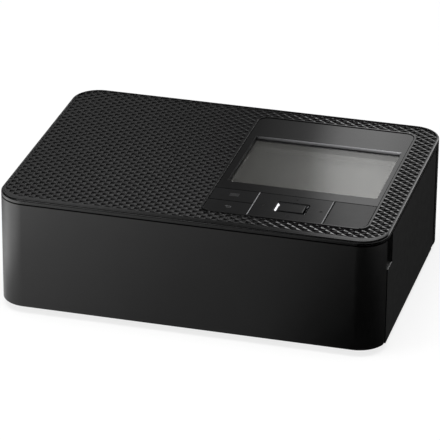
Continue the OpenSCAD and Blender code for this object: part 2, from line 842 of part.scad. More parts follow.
// Panel face with the screen opening, a flange under the cover and the key tray
module control_panel() {
    tray_depth = cover_z - tray_floor_z;
    color("#101012") difference() {
        union() {
            translate([0, 0, cover_z]) linear_extrude(panel_top - cover_z) difference() {
                panel_outline(panel_gap);
                translate([panel_x0 - cut, panel_y0 - cut]) square([panel_w + 2 * cut, keys_d + cut]);
            }
            translate([0, 0, cover_z - flange_t]) linear_extrude(flange_t) panel_outline(-flange_w);
            translate([0, 0, tray_floor_z]) linear_extrude(tray_depth) intersection() {
                panel_outline(-tray_wall);
                translate([panel_x0 - 2 * tray_wall, panel_y0 - 2 * tray_wall])
                    square([panel_w + 4 * tray_wall, keys_d + 3 * tray_wall]);
            }
            for (at = board_posts()) translate([at[0], at[1], panel_board_z + board_t])
                cylinder(h = tray_floor_z - panel_board_z - board_t + eps, r = post_r);
        }
        translate([0, 0, tray_floor_z + tray_floor_t]) linear_extrude(tray_depth) intersection() {
            panel_outline();
            translate([panel_x0, panel_y0]) square([panel_w, keys_d]);
        }
        translate([0, 0, tray_floor_z]) linear_extrude(tray_depth) intersection() {
            panel_outline(1);
            translate([panel_x0, keys_y1 + tray_wall]) square([panel_w, panel_d]);
        }
        translate([screen_mid[0], screen_mid[1], cover_z - cut])
            linear_extrude(body_h) rounded(screen_w, screen_d, 0.8);
        for (at = stem_places())
            translate([at[0], at[1], tray_floor_z - cut]) cylinder(h = tray_depth, r = stem_r + stem_gap);
    }
}

// Places of the posts that hold the panel board
function board_posts() = [
    for (x = [panel_x0 + 4, panel_x1 - 4], y = [panel_y0 + 4, keys_y1 - 2]) [x, y]
];

// Centres of the keys and of the pad's four switches
menu_at = [(panel_x0 + left_x1) / 2 - 0.1, keys_mid_y + keys_d / 4];
back_at = [(panel_x0 + left_x1) / 2 - 0.1, keys_mid_y - keys_d / 4];
print_at = [(right_x0 + panel_x1) / 2, keys_mid_y];
function pad_places() = [
    for (turn = [0:3]) pad_mid + [pad_reach_x * cos(90 * turn), pad_reach_y * sin(90 * turn)]
];
function stem_places() = concat([menu_at, back_at, print_at, pad_mid], pad_places());

// Clear pane, seated under the panel's face
module display_window() {
    color([0.12, 0.13, 0.15, 0.6]) translate([screen_mid[0], screen_mid[1], 0]) {
        translate([0, 0, cover_z - pane_lip_t]) linear_extrude(pane_lip_t)
            rounded(screen_w + 2 * pane_lip, screen_d + 2 * pane_lip, 1.2);
        translate([0, 0, cover_z - eps]) linear_extrude(panel_top - screen_sunk - cover_z + eps)
            rounded(screen_w - 0.3, screen_d - 0.3, 0.7);
    }
}

// Flat display behind the pane
module display_module() {
    color("#5d6166") translate([screen_mid[0], screen_mid[1], cover_z - pane_lip_t - display_t])
        linear_extrude(display_t) square([screen_w + 2 * pane_lip, screen_d + 2 * pane_lip], center = true);
}

// Upper left key
module menu_button() {
    color("#121214") key(
        panel_x0, keys_mid_y + panel_gap / 2 + 0.05, left_x1 - panel_gap / 2, keys_y1 - panel_gap, menu_at
    );
}

// Lower left key
module back_button() {
    color("#121214") key(
        panel_x0, panel_y0, left_x1 - panel_gap / 2, keys_mid_y - panel_gap / 2 - 0.05, back_at
    );
}

// Right key
module print_button() {
    color("#121214") key(right_x0 + panel_gap / 2, panel_y0, panel_x1, keys_y1 - panel_gap, print_at);
}

// Four-way rocking pad with a pocket for the centre key's frame
module direction_pad() {
    color("#121214") difference() {
        union() {
            translate([0, 0, key_z]) linear_extrude(key_t)
                translate([left_x1 + panel_gap / 2, panel_y0 + panel_gap])
                    square([right_x0 - left_x1 - panel_gap, keys_d - 2 * panel_gap]);
            for (at = pad_places())
                translate([at[0], at[1], tray_floor_z])
                    cylinder(h = key_z - tray_floor_z + eps, r = stem_r - 0.3);
        }
        translate([pad_mid[0], pad_mid[1], panel_top - pad_ledge])
            linear_extrude(cut + pad_ledge) rounded(ok_pocket_w, ok_pocket_d, 1.5);
        translate([pad_mid[0], pad_mid[1], key_z - cut])
            linear_extrude(key_t + 2 * cut) rounded(ok_w + 1.2, ok_d + 1.2, 1.2);
    }
}

// Rocking ring under the pad: ridges on its underside and top cross each other
module pad_carrier() {
    color("#3a3a3e") translate([pad_mid[0], pad_mid[1], carrier_z]) difference() {
        union() {
            linear_extrude(carrier_t) square([carrier_w, carrier_d], center = true);
            translate([-0.5, -carrier_d / 2, -ridge_h]) cube([1, carrier_d, ridge_h + eps]);
            translate([-carrier_w / 2, -0.5, carrier_t - eps]) cube([carrier_w, 1, ridge_h + eps]);
        }
        translate([0, 0, -cut])
            linear_extrude(carrier_t + 2 * cut) square([carrier_w - 8, carrier_d - 5], center = true);
    }
}

// Bright frame in the pad's pocket
module ok_frame() {
    color("#d8d8dc") translate([pad_mid[0], pad_mid[1], panel_top - pad_ledge])
        linear_extrude(pad_ledge + 0.1) difference() {
            rounded(ok_pocket_w - 2 * frame_gap, ok_pocket_d - 2 * frame_gap, 1.2);
            rounded(ok_w + 0.5, ok_d + 0.5, 0.9);
        }
}

// Centre key
module ok_button() {
    color("#121214") translate([pad_mid[0], pad_mid[1], 0]) {
        translate([0, 0, key_z - 0.2]) linear_extrude(key_t + 0.25) rounded(ok_w, ok_d, 0.7);
        translate([0, 0, tray_floor_z]) cylinder(h = key_z - tray_floor_z, r = stem_r);
    }
}

// Board under the key tray, with one switch per stem
module panel_board() {
    color("#1f5d3a") {
        translate([0, 0, panel_board_z]) linear_extrude(board_t)
            translate([panel_x0 + 1, panel_y0 + 1]) square([panel_w - 2, keys_d + 1.5]);
        for (at = stem_places()) translate([at[0], at[1], panel_board_z + board_t - eps])
            cylinder(h = switch_t + eps, r = 1.4);
    }
}

// ---- Print mechanism ----

// Side plate of the chassis, with bearing holes; x0 is its left face. The right plate, with the
// cassette's window, is lower in front, below the panel board.
module chassis_plate(x0, right) {
    along_x(x0, x0 + chassis_t) difference() {
        translate([plate_y0, floor_z]) square([plate_y1 - plate_y0, chassis_h]);
        for (at = [platen, capstan]) translate(at) circle(bush_hole_r());
        translate(pinch) circle(pinch_shaft_r + pin_fit);
        translate(pickup) circle(pickup_shaft_r + pin_fit);
        translate(pivot) circle(pivot_r);
        if (right) {
            translate([supply[0] - spool_case_r - 1.5, supply[1] - spool_case_r - 1.5])
                square([2 * (spool_reach + spool_case_r + 1.5), 2 * spool_case_r + 3]);
            translate([plate_y0 - cut, plate_top - plate_step])
                square([tie_y() - 1 - plate_y0 + cut, plate_step + cut]);
        } else {
            for (at = [supply, take_up]) translate(at) circle(journal_r + 0.4);
            for (at = [feed_at, ribbon_at]) translate(at) circle(motor_shaft_r + 1.5);
        }
    }
}

function bush_hole_r() = shaft_r + bush_t;

// Where the front cross bar and the main board begin
function tie_y() = pickup[0] + pickup_r - 4;

// The left plate also has the stud of the ribbon idler
module chassis_left() {
    stud_x = ribbon_layer - 0.6;
    color("#a8abb0") {
        chassis_plate(-plate_out, false);
        x_bar(stud_x, -plate_out + eps, idler_at, 1.5);
        x_bar(-plate_out - 1.4, -plate_out + eps, idler_at, 3);
    }
}

// The right plate has the cassette's window and the pin of its catch
module chassis_right() {
    color("#a8abb0") {
        chassis_plate(plate_in, true);
        x_bar(plate_out - eps, plate_out + 2.4, lock_at, lock_pin_r);
    }
}

// Cross bars between the plates' upper edges
module chassis_ties() {
    color("#a8abb0") for (y = [tie_y(), pivot[0] - 3])
        block([-plate_in, y, plate_top - tie_t], [plate_in, y + 5, plate_top]);
}

// Plain bushes for the platen and the capstan
module roller_bushes() {
    color("#d9d4c4") for (side = [-1, 1], at = [platen, capstan])
        translate([side * (plate_in + chassis_t / 2), 0, 0]) difference() {
            union() {
                x_bar(-chassis_t / 2 - bush_flange, chassis_t / 2 + 0.6, at, bush_hole_r() - 0.02);
                x_bar(-chassis_t / 2 - bush_flange, -chassis_t / 2, at, bush_hole_r() + 0.8);
            }
            x_bar(-5, 5, at, shaft_r + pin_fit);
        }
}

// Rubber platen under the head
module platen_roller() {
    color("#2a2a2a") {
        x_bar(-roller_half, roller_half, platen, platen_r);
        x_bar(-plate_out - 1, plate_out + 1, platen, shaft_r);
    }
}

// Steel roller that draws the paper to and fro
module capstan_roller() {
    color("#c2c5ca") {
        x_bar(-roller_half, roller_half, capstan, capstan_r);
        x_bar(belt_layer - 0.5, plate_out + 1, capstan, shaft_r);
    }
}

module capstan_gear() {
    first_tooth = feed_dir() + 180 + 180 / capstan_teeth;
    color("#e6e2d6") gear(feed_layer, capstan, capstan_teeth, first_tooth, shaft_r);
}

// Direction from the feed pinion's axis to the capstan's axis
function feed_dir() = atan2(capstan[1] - feed_at[1], capstan[0] - feed_at[0]);

module capstan_pulley() {
    color("#e6e2d6") difference() {
        x_bar(belt_layer, belt_layer + belt_w, capstan, pulley_r);
        x_bar(belt_layer - cut, belt_layer + belt_w + cut, capstan, shaft_r);
    }
}

// Soft roller below the capstan
module pinch_roller() {
    color("#2a2a2a") {
        x_bar(-roller_half + 2, roller_half - 2, pinch, pinch_r);
        x_bar(-plate_out - 0.6, plate_out + 0.6, pinch, pinch_shaft_r);
    }
}

// Roller that picks a sheet from the bay
module pickup_roller() {
    color("#2a2a2a") {
        for (x = [-26, 10]) x_bar(x, x + 16, pickup, pickup_r);
        x_bar(belt_layer - 0.5, plate_out + 1, pickup, pickup_shaft_r);
    }
}

module pickup_pulley() {
    color("#e6e2d6") difference() {
        x_bar(belt_layer, belt_layer + belt_w, pickup, pulley_r);
        x_bar(belt_layer - cut, belt_layer + belt_w + cut, pickup, pickup_shaft_r);
    }
}

// Flat loop between the two pulleys: two straight runs and a half ring at each end
module drive_belt() {
    line = capstan - pickup;
    inner = pulley_r + run_gap;
    color("#1c1c1c") along_x(belt_layer + 0.4, belt_layer + belt_w - 0.4)
        translate(pickup) rotate(atan2(line[1], line[0])) {
            for (y = [inner, -inner - belt_t]) translate([0, y]) square([norm(line), belt_t]);
            belt_end(inner);
            translate([norm(line), 0]) rotate(180) belt_end(inner);
        }
}

// Half ring on the side of -X
module belt_end(inner) {
    outer = inner + belt_t;
    difference() {
        circle(outer);
        circle(inner);
        translate([0, -outer]) square(2 * outer);
    }
}

// A small can motor on the left plate's inner face, with its shaft out to some x
module motor(at, shaft_x) {
    color("#b9bcc1") {
        x_bar(-plate_in, -plate_in + motor_l, at, motor_r);
        x_bar(-plate_in + motor_l - eps, -plate_in + motor_l + 1.5, at, 2.4);
        x_bar(-plate_out, -plate_in + eps, at, motor_shaft_r + 1.4);
        x_bar(shaft_x, -plate_out + eps, at, motor_shaft_r);
    }
}

module feed_motor() {
    motor(feed_at, feed_layer + 0.5);
}

module ribbon_motor() {
    motor(ribbon_at, ribbon_layer + 0.5);
}

module feed_pinion() {
    color("#e6e2d6") gear(feed_layer, feed_at, pinion_teeth, feed_dir(), motor_shaft_r + pin_fit);
}

module ribbon_pinion() {
    color("#e6e2d6") gear(ribbon_layer, ribbon_at, pinion_teeth, idler_dir, motor_shaft_r + pin_fit);
}

// Gear between the ribbon pinion and the ribbon gear
module ribbon_idler() {
    color("#e6e2d6") gear(
        ribbon_layer, idler_at, idler_teeth, idler_dir + 180 + 180 / idler_teeth, 1.5 + pin_fit
    );
}

// The ribbon gear's teeth are set by where the idler's teeth stand on the line between the two
module ribbon_gear() {
    line = take_up - idler_at;
    line_dir = atan2(line[1], line[0]);
    idler_phase = line_dir - (idler_dir + 180 + 180 / idler_teeth);
    slip = idler_phase - floor(idler_phase * idler_teeth / 360) * 360 / idler_teeth;
    ribbon_phase = line_dir + 180 + 180 / ribbon_teeth + slip * idler_teeth / ribbon_teeth;
    color("#e6e2d6") gear(ribbon_layer, take_up, ribbon_teeth, ribbon_phase, journal_r);
}

// ---- Ink cassette ----

// A wound spool: core, ribbon roll and journals out to both ends
module spool(at, left_x, fill_r) {
    x_bar(left_x, cassette_x1 - 0.5, at, journal_r);
    x_bar(-spool_half, spool_half, at, fill_r);
    for (side = [-1, 1])
        translate([side * (spool_half + spool_flange_t / 2), 0, 0])
            x_bar(-spool_flange_t / 2, spool_flange_t / 2, at, roll_r);
}

module take_up_spool() {
    color("#3b3b40") spool(take_up, ribbon_layer - 0.4, roll_r - 2.2);
}

module supply_spool() {
    color("#3b3b40") spool(supply, cassette_x0 - 1, roll_r - 0.6);
}

// Two open housings joined by end frames, with a grip on the right
module ink_cassette() {
    color("#3f4147") {
        for (at = [supply, take_up]) difference() {
            x_bar(cassette_x0, cassette_x1, at, spool_case_r);
            x_bar(cassette_x0 + end_t, cassette_x1 - end_t, at, spool_case_r - spool_case_t);
            x_bar(cassette_x0 - cut, cassette_x1 + cut, at, journal_r + pin_fit);
            block(
                [cassette_x0 + end_t, at[0] - 5, at[1] - spool_case_r - cut],
                [cassette_x1 - end_t, at[0] + 5, at[1] - 2]
            );
        }
        for (x = [cassette_x0, cassette_x1 - end_t]) difference() {
            block([x, supply[0], supply[1] - 3], [x + end_t, take_up[0], supply[1] + 5]);
            for (at = [supply, take_up]) x_bar(x - cut, x + end_t + cut, at, journal_r + pin_fit);
        }
        block(
            [cassette_x1 - eps, platen[0] - 9, supply[1] - 2],
            [cassette_x1 + 11, platen[0] + 9, supply[1] + 1]
        );
    }
}

// Ribbon from one spool, over the platen, to the other
module ribbon_film() {
    half = paper_w / 2 + 1;
    low = ribbon_z;
    flat = 3.5;
    rise_y = spool_reach - 1;
    rise_z = supply[1] - roll_r - 0.8;
    color("#3a2a4a") along_x(-half, half) translate([platen[0], 0]) polygon([
        [-rise_y, rise_z], [-flat, low], [flat, low], [rise_y, rise_z],
        [rise_y, rise_z + ribbon_t], [flat, low + ribbon_t],
        [-flat, low + ribbon_t], [-rise_y, rise_z + ribbon_t]
    ]);
}

// Heating bar
module thermal_head() {
    color("#d8d2c2") block(
        [-head_half, platen[0] - head_d / 2, head_z], [head_half, platen[0] + head_d / 2, head_z + head_t]
    );
}

// Finned block on the heating bar
module heat_sink() {
    z0 = head_z + head_t;
    color("#aeb2b8") {
        block([-head_half, platen[0] - sink_d / 2, z0], [head_half, platen[0] + sink_d / 2, z0 + sink_base]);
        for (i = [0:3]) {
            fin_y = platen[0] - sink_d / 2 + i * (sink_d - 1.2) / 3;
            block([-head_half, fin_y, z0 + sink_base - eps], [head_half, fin_y + 1.2, head_plate_z]);
        }
    }
}

// Swinging frame that carries the head over the cassette
module head_frame() {
    plate_y = [platen[0] - 8, pivot[0] + 3];
    arm_x = plate_in - 5;
    color("#9a9da3") difference() {
        union() {
            block(
                [-arm_x, plate_y[0], head_plate_z], [arm_x, plate_y[1], head_plate_z + head_plate_t]
            );
            for (side = [-1, 1]) along_x(side * (arm_x - 0.6) - 0.6, side * (arm_x - 0.6) + 0.6) {
                translate(pivot) circle(arm_eye_r);
                translate([pivot[0] - 3, pivot[1]]) square([6, head_plate_z - pivot[1] + eps]);
            }
        }
        x_bar(-plate_in, plate_in, pivot, pivot_r + pin_fit);
        for (x = [-40, -10, 20])
            block([x, platen[0] + 10, head_plate_z - cut], [x + 20, pivot[0] - 8, head_plate_z + 2 * cut]);
    }
}

module head_pivot_shaft() {
    color("#c2c5ca") x_bar(-plate_out - 0.6, plate_out + 0.6, pivot, pivot_r - 0.02);
}

// Turning catch that keeps the ink cassette in
module cassette_lock() {
    color("#6d7076") difference() {
        along_x(plate_out + 0.3, plate_out + 2) {
            translate(lock_at) circle(3);
            translate([lock_at[0] - 9, lock_at[1] - 2]) square([9, 4]);
            translate([lock_at[0] - 2, lock_at[1]]) square([4, 6]);
        }
        x_bar(plate_out, plate_out + 3, lock_at, lock_pin_r + pin_fit);
    }
}

// ---- Electronics ----

// Main board on the cross bars, to the left of the display
module main_board() {
    color("#1f5d3a") block(main_board_at, [main_board_x1, pivot[0] + 2, plate_top + board_t]);
}

// Chips, capacitors and connectors on the main board, placed from its left and right edges
module board_parts() {
    chip_h = 1.2;
    x0 = main_board_at[0];
    y0 = main_board_at[1];
    color("#2c2c30") translate([0, 0, plate_top + board_t]) {
        block([x0 + 15, y0 + 22, 0], [x0 + 30, y0 + 37, chip_h]);
        block([main_board_x1 - 11, y0 + 44, 0], [main_board_x1 - 2, y0 + 56, chip_h]);
        block([main_board_x1 - 11, y0 + 8, 0], [main_board_x1 - 1, y0 + 16, chip_h]);
        for (i = [0:3]) translate([x0 + 8, y0 + 16 + 11 * i, 0]) cylinder(h = part_h, r = 4);
        block([x0 + 4, y0 + 64, 0], [x0 + 26, y0 + 69, part_h]);
        block([main_board_x1 - 11, y0 + 64, 0], [main_board_x1 - 1, y0 + 69, part_h]);
    }
}

// Small board on the left plate for the card socket, data socket and power switch
module card_board() {
    color("#1f5d3a") block(
        [-inner_x + 0.3, card_y[0], card_board_z], [-plate_out, card_y[1], card_board_z + board_t]
    );
}

module card_socket() {
    z = card_board_z + board_t;
    color("#b9bcc1") difference() {
        block(
            [-inner_x + 0.3, card_mid - card_w / 2 - 1.5, z],
            [-plate_out - 1, card_mid + card_w / 2 + 1.5, z + 3.4]
        );
        block(
            [-inner_x - cut, card_mid - card_w / 2, z + 0.4],
            [-plate_out - 2, card_mid + card_w / 2, z + card_slot_h]
        );
    }
}

module usb_socket() {
    color("#b9bcc1") difference() {
        block(
            [-inner_x + 0.3, usb_mid - usb_w / 2, card_board_z - usb_h],
            [-inner_x + 0.3 + usb_l, usb_mid + usb_w / 2, card_board_z]
        );
        block(
            [-inner_x - cut, usb_mid - usb_w / 2 + 0.4, card_board_z - usb_h + 0.4],
            [-inner_x + usb_l - 0.7, usb_mid + usb_w / 2 - 0.4, card_board_z - 0.4]
        );
    }
}

// Push button in the left wall
module power_button() {
    color("#2a2a2e") {
        x_bar(-right_x + power_face, -inner_x + 3.6, power_at, power_r);
        x_bar(-inner_x + 0.3, -inner_x + 1.3, power_at, power_r + 0.8);
    }
}

module power_switch() {
    x0 = -inner_x + 3.6 + power_travel + 0.2;
    z0 = card_board_z + board_t;
    color("#2c2c30") block(
        [x0, power_at[0] - 4, z0], [x0 + 6, power_at[0] + 4, power_at[1] + 3]
    );
}

// Barrel socket behind the rear wall
module dc_inlet() {
    z0 = floor_z;
    length = 12;
    color("#232326") {
        difference() {
            union() {
                block(
                    [dc_x - dc_side / 2, rear_in - length, z0],
                    [dc_x + dc_side / 2, rear_in, z0 + dc_side]
                );
                translate([dc_x, rear_in - eps, dc_z]) rotate([-90, 0, 0])
                    cylinder(h = wall_t - 0.4, r = dc_hole_r - 0.2);
            }
            translate([dc_x, rear_in - length + 2, dc_z]) rotate([-90, 0, 0])
                cylinder(h = length + wall_t, r = dc_bore_r);
        }
        translate([dc_x, rear_in - length + 1, dc_z]) rotate([-90, 0, 0]) cylinder(h = length - 1, r = 0.9);
    }
}

// Square fan frame with its hub plate and spokes
module fan_frame() {
    y0 = rear_in - fan_t;
    color("#26262a") {
        difference() {
            block(
                [fan_mid[0] - fan_side / 2, y0, fan_mid[1] - fan_side / 2],
                [fan_mid[0] + fan_side / 2, rear_in, fan_mid[1] + fan_side / 2]
            );
            fan_round(y0 - cut, rear_in + cut, fan_bore_r);
        }
        fan_round(y0, y0 + 1, fan_hub_r);
        fan_round(y0, y0 + fan_t - 2.2, 1);
        for (turn = [0:2]) translate([fan_mid[0], y0, fan_mid[1]]) rotate([0, 120 * turn, 0])
            translate([-0.7, 0, 0]) cube([1.4, 1, fan_bore_r + 0.4]);
    }
}

// A round bar along Y on the fan's axis
module fan_round(y0, y1, r) {
    translate([fan_mid[0], y0, fan_mid[1]]) rotate([-90, 0, 0]) cylinder(h = y1 - y0, r = r);
}

module fan_rotor() {
    y0 = rear_in - fan_t + 1 + run_gap;
    y1 = rear_in - 0.8;
    color("#303034") difference() {
        union() {
            fan_round(y0, y1, fan_hub_r);
            for (turn = [0:fan_blades - 1]) translate([fan_mid[0], (y0 + y1) / 2, fan_mid[1]])
                rotate([0, 360 * turn / fan_blades, 0]) rotate([0, 0, 38])
                    translate([-0.4, -2.6, fan_hub_r - 0.6]) cube([0.8, 5.2, fan_bore_r - fan_hub_r - 0.4]);
        }
        fan_round(y0 - cut, y1 - 1, 1 + pin_fit);
    }
}

main_case();
top_cover();
control_panel();
display_window();
display_module();
menu_button();
back_button();
print_button();
direction_pad();
pad_carrier();
ok_frame();
ok_button();
panel_board();
front_door();
front_door_pins();
side_door();
side_door_pins();
front_frame();
paper_bay();
base_plate();
rubber_feet();
case_screws();
chassis_left();
chassis_right();
chassis_ties();
roller_bushes();
platen_roller();
capstan_roller();
capstan_gear();
capstan_pulley();
pinch_roller();
pickup_roller();
pickup_pulley();
drive_belt();
feed_motor();
feed_pinion();
ribbon_motor();
ribbon_pinion();
ribbon_idler();
ribbon_gear();
take_up_spool();
supply_spool();
ink_cassette();
ribbon_film();
thermal_head();
heat_sink();
head_frame();
head_pivot_shaft();
cassette_lock();
main_board();
board_parts();
card_board();
card_socket();
usb_socket();
power_button();
power_switch();
dc_inlet();
fan_frame();
fan_rotor();
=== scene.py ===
"""Looks for the compact photo printer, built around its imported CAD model.

The frame is the CAD's: X to the right, Y to the back, Z up, origin on the table under the middle.
The printer's points and sizes are in millimetres; add_mesh() and soften() turn them into metres.
The stage, the camera and positions inside node materials are in metres.
"""

import json
import math

import bmesh
import bpy
from mathutils import Matrix, Vector


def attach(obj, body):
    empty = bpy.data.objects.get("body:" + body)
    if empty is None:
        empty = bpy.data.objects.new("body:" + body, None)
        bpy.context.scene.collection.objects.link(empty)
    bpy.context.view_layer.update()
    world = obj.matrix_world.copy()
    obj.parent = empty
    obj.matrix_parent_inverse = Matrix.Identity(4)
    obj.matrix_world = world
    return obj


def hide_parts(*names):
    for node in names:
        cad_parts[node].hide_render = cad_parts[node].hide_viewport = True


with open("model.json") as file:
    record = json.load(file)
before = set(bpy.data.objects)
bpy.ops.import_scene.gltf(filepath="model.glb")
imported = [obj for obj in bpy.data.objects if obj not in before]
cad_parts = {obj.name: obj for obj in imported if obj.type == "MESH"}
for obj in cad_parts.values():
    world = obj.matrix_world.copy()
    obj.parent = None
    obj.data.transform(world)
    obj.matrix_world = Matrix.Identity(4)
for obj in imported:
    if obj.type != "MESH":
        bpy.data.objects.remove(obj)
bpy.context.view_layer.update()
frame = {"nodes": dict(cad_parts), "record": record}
MM = 0.001

# ---- Sizes of the CAD model, in millimetres; a box is (x0, y0, x1, y1) ----

BODY_H = 57.6
# The cover's recessed field, and the opening for the panel with its collar
FIELD, FIELD_R, FIELD_Z = (-90.0, -64.5, 90.0, 65.4), 12.2, 57.2
PANEL, PANEL_R, PANEL_COLLAR = (3.0, -52.4, 79.6, 56.1), 5.0, 1.0
# Upper faces of the panel and its keys, and the floor of the pad's pocket
FACE_Z, POCKET_Z = 57.3, 56.1
PAD_MID = (42.3, -39.8)
# Width, depth and corner radius of the frame in the pocket
FRAME_OUT = (14.6, 10.3, 1.2)


# ---- Node materials ----

# The colour sockets of a Mix node, and the usual range of a Noise node
MIX_A, MIX_B, MIX_RESULT = 6, 7, 2
NOISE_SPAN = (0.3, 0.7)
# Lumps of the flow marks and of the sheen of moulded plastic
FLOW_MM, SHEEN_MM = 9.0, 3.6


class Nodes:
    """Builds one node material: add() makes a node, and an input that is a socket gets a link."""

    def __init__(self, name):
        self.mat = bpy.data.materials.new(name)
        self.mat.use_nodes = True
        self.tree = self.mat.node_tree
        self.tree.nodes.clear()
        self.out = self.add("ShaderNodeOutputMaterial")
        self.coords = None

    def add(self, kind, inputs=None, **settings):
        node = self.tree.nodes.new(kind)
        for key, value in settings.items():
            setattr(node, key, value)
        for key, value in (inputs or {}).items():
            if isinstance(value, bpy.types.NodeSocket):
                self.tree.links.new(value, node.inputs[key])
            else:
                node.inputs[key].default_value = value
        return node

    def calc(self, operation, one, two, **settings):
        """A number worked out from two others."""
        node = self.add("ShaderNodeMath", {0: one, 1: two}, operation=operation, **settings)
        return node.outputs[0]

    def place(self, stretch=(1, 1, 1)):
        """Object coordinates, stretched along the axes."""
        if self.coords is None:
            self.coords = self.add("ShaderNodeTexCoord")
        mapping = self.add("ShaderNodeMapping", {"Vector": self.coords.outputs["Object"]})
        mapping.inputs["Scale"].default_value = stretch
        return mapping.outputs["Vector"]

    def axes(self, vector):
        """The X, Y and Z of a vector."""
        return self.add("ShaderNodeSeparateXYZ", {0: vector}).outputs

    def noise(self, size_mm, stretch=(1, 1, 1), detail=3.0):
        """Noise with lumps of about size_mm."""
        node = self.add(
            "ShaderNodeTexNoise",
            {"Vector": self.place(stretch), "Scale": 1.0 / (size_mm * MM), "Detail": detail},
        )
        return node.outputs["Fac"]

    def between(self, fac, low, high, span=NOISE_SPAN):
        """A number that goes from low to high while fac crosses the span."""
        node = self.add(
            "ShaderNodeMapRange",
            {"Value": fac, "From Min": span[0], "From Max": span[1], "To Min": low, "To Max": high},
        )
        return node.outputs["Result"]

    def blend(self, fac, one, two):
        """A colour between one and two."""
        node = self.add("ShaderNodeMix", data_type="RGBA")
        self.tree.links.new(fac, node.inputs[0])
        for socket, value in ((MIX_A, one), (MIX_B, two)):
            if isinstance(value, bpy.types.NodeSocket):
                self.tree.links.new(value, node.inputs[socket])
            else:
                node.inputs[socket].default_value = (*value, 1)
        return node.outputs[MIX_RESULT]

    def bump(self, height, depth_mm):
        node = self.add(
            "ShaderNodeBump", {"Height": height, "Strength": 1.0, "Distance": depth_mm * MM}
        )
        return node.outputs["Normal"]

    def show(self, shader):
        """Joins a shader to the output and returns the material."""
        self.tree.links.new(shader.outputs[0], self.out.inputs["Surface"])
        return self.mat

    def surface(self, **inputs):
        """The Principled shader, with inputs named by their sockets."""
        named = {key.replace("_", " "): value for key, value in inputs.items()}
        return self.show(self.add("ShaderNodeBsdfPrincipled", named))

    def mixed(self, fac, one, two):
        """A mix of two shaders."""
        return self.show(
            self.add("ShaderNodeMixShader", {0: fac, 1: one.outputs[0], 2: two.outputs[0]})
        )


def grey(value):
    """A neutral grey with a trace of blue."""
    return (value, value, value * 1.03)


def plastic(
    name, dark, light, rough, grain_mm=0.35, depth_mm=0.006, spec=0.5, duller=0.0, where=(0, 0)
):
    """Moulded plastic: a fine spark-eroded grain, faint flow marks and an uneven sheen.

    Its roughness is higher by duller to the left of where, a range of X in metres.
    """
    n = Nodes(name)
    flow = n.noise(FLOW_MM, (1, 0.6, 1), 4)
    fine = n.noise(grain_mm, detail=2)
    sheen = n.between(n.noise(SHEEN_MM), *rough)
    if duller:
        sheen = n.calc("ADD", sheen, n.between(n.axes(n.place())[0], duller, 0, where))
    return n.surface(
        Base_Color=n.blend(n.between(flow, 0, 1), dark, light),
        Roughness=sheen,
        Specular_IOR_Level=spec,
        Normal=n.bump(fine, depth_mm),
    )


def metal(name, dark, light, rough, stretch, line_mm=0.25, depth_mm=0.002):
    """Drawn or ground metal with lines along one axis."""
    n = Nodes(name)
    lines = n.noise(line_mm, stretch, 4)
    return n.surface(
        Base_Color=n.blend(n.between(n.noise(6.0), 0, 1), dark, light),
        Metallic=1.0,
        Roughness=n.between(lines, *rough),
        Normal=n.bump(lines, depth_mm),
    )


def rubber(name, dark, light):
    """Dull rubber with a coarse grain."""
    n = Nodes(name)
    lumps = n.noise(0.6, detail=5)
    return n.surface(
        Base_Color=n.blend(n.between(lumps, 0, 1), dark, light),
        Roughness=n.between(n.noise(2.0), 0.62, 0.8),
        Specular_IOR_Level=0.35,
        Normal=n.bump(lumps, 0.03),
    )


def bricks(n, colours, gap, width, height, **settings):
    """A grid of bricks: two colours and the gaps' own, with sizes in metres."""
    inputs = {"Vector": n.place(), "Scale": 1.0}
    inputs.update(
        (socket, (*colour, 1)) for socket, colour in zip(("Color1", "Color2", "Mortar"), colours)
    )
    inputs.update({"Mortar Size": gap, "Brick Width": width, "Row Height": height})
    return n.add("ShaderNodeTexBrick", inputs, **settings).outputs


def board(name):
    """Solder resist over copper tracks: lighter tracks show through the green."""
    n = Nodes(name)
    tracks = bricks(
        n, ((0.012, 0.085, 0.035), (0.016, 0.11, 0.045), (0.035, 0.2, 0.08)), 0.0002, 0.0062, 0.0019
    )
    return n.surface(
        Base_Color=n.blend(n.between(n.noise(5.0), 0, 0.35), tracks["Color"], (0.01, 0.06, 0.03)),
        Roughness=n.between(n.noise(1.5), 0.25, 0.4),
        Normal=n.bump(tracks["Fac"], 0.03),
    )


def glass(name):
    """Clear tinted pane: it reflects by Fresnel and passes the rest straight through."""
    n = Nodes(name)
    fresnel = n.add("ShaderNodeFresnel", {"IOR": 1.75})
    inside = n.add("ShaderNodeNewGeometry").outputs["Backfacing"]
    outer = n.calc("SUBTRACT", fresnel.outputs[0], inside, use_clamp=True)
    through = n.add("ShaderNodeBsdfTransparent", {"Color": (0.88, 0.88, 0.87, 1)})
    shine = n.add(
        "ShaderNodeBsdfGlossy", {"Roughness": n.between(n.noise(14.0, detail=5), 0.05, 0.11)}
    )
    return n.mixed(outer, through, shine)


def display(name):
    """A switched-off panel: grey, with a fine pixel grid under a satin polariser."""
    n = Nodes(name)
    pixels = bricks(
        n, ((0.128, 0.128, 0.122), (0.133, 0.133, 0.127), (0.119, 0.119, 0.113)),
        0.00004, 0.00033, 0.00033, offset=0.0,
    )
    return n.surface(
        Base_Color=pixels["Color"],
        Roughness=n.between(n.noise(20.0), 0.16, 0.22),
        IOR=1.9,
        Coat_Weight=1.0,
        Coat_Roughness=0.1,
        Coat_IOR=2.0,
    )


def ribbon(name):
    """Dye film with bands across it."""
    n = Nodes(name)
    bands = n.noise(1.2, (1, 0.1, 0.1), 2)
    return n.surface(
        Base_Color=n.blend(n.between(bands, 0, 1), (0.045, 0.02, 0.07), (0.07, 0.03, 0.1)),
        Roughness=n.between(n.noise(5.0), 0.12, 0.3),
        Normal=n.bump(bands, 0.01),
    )


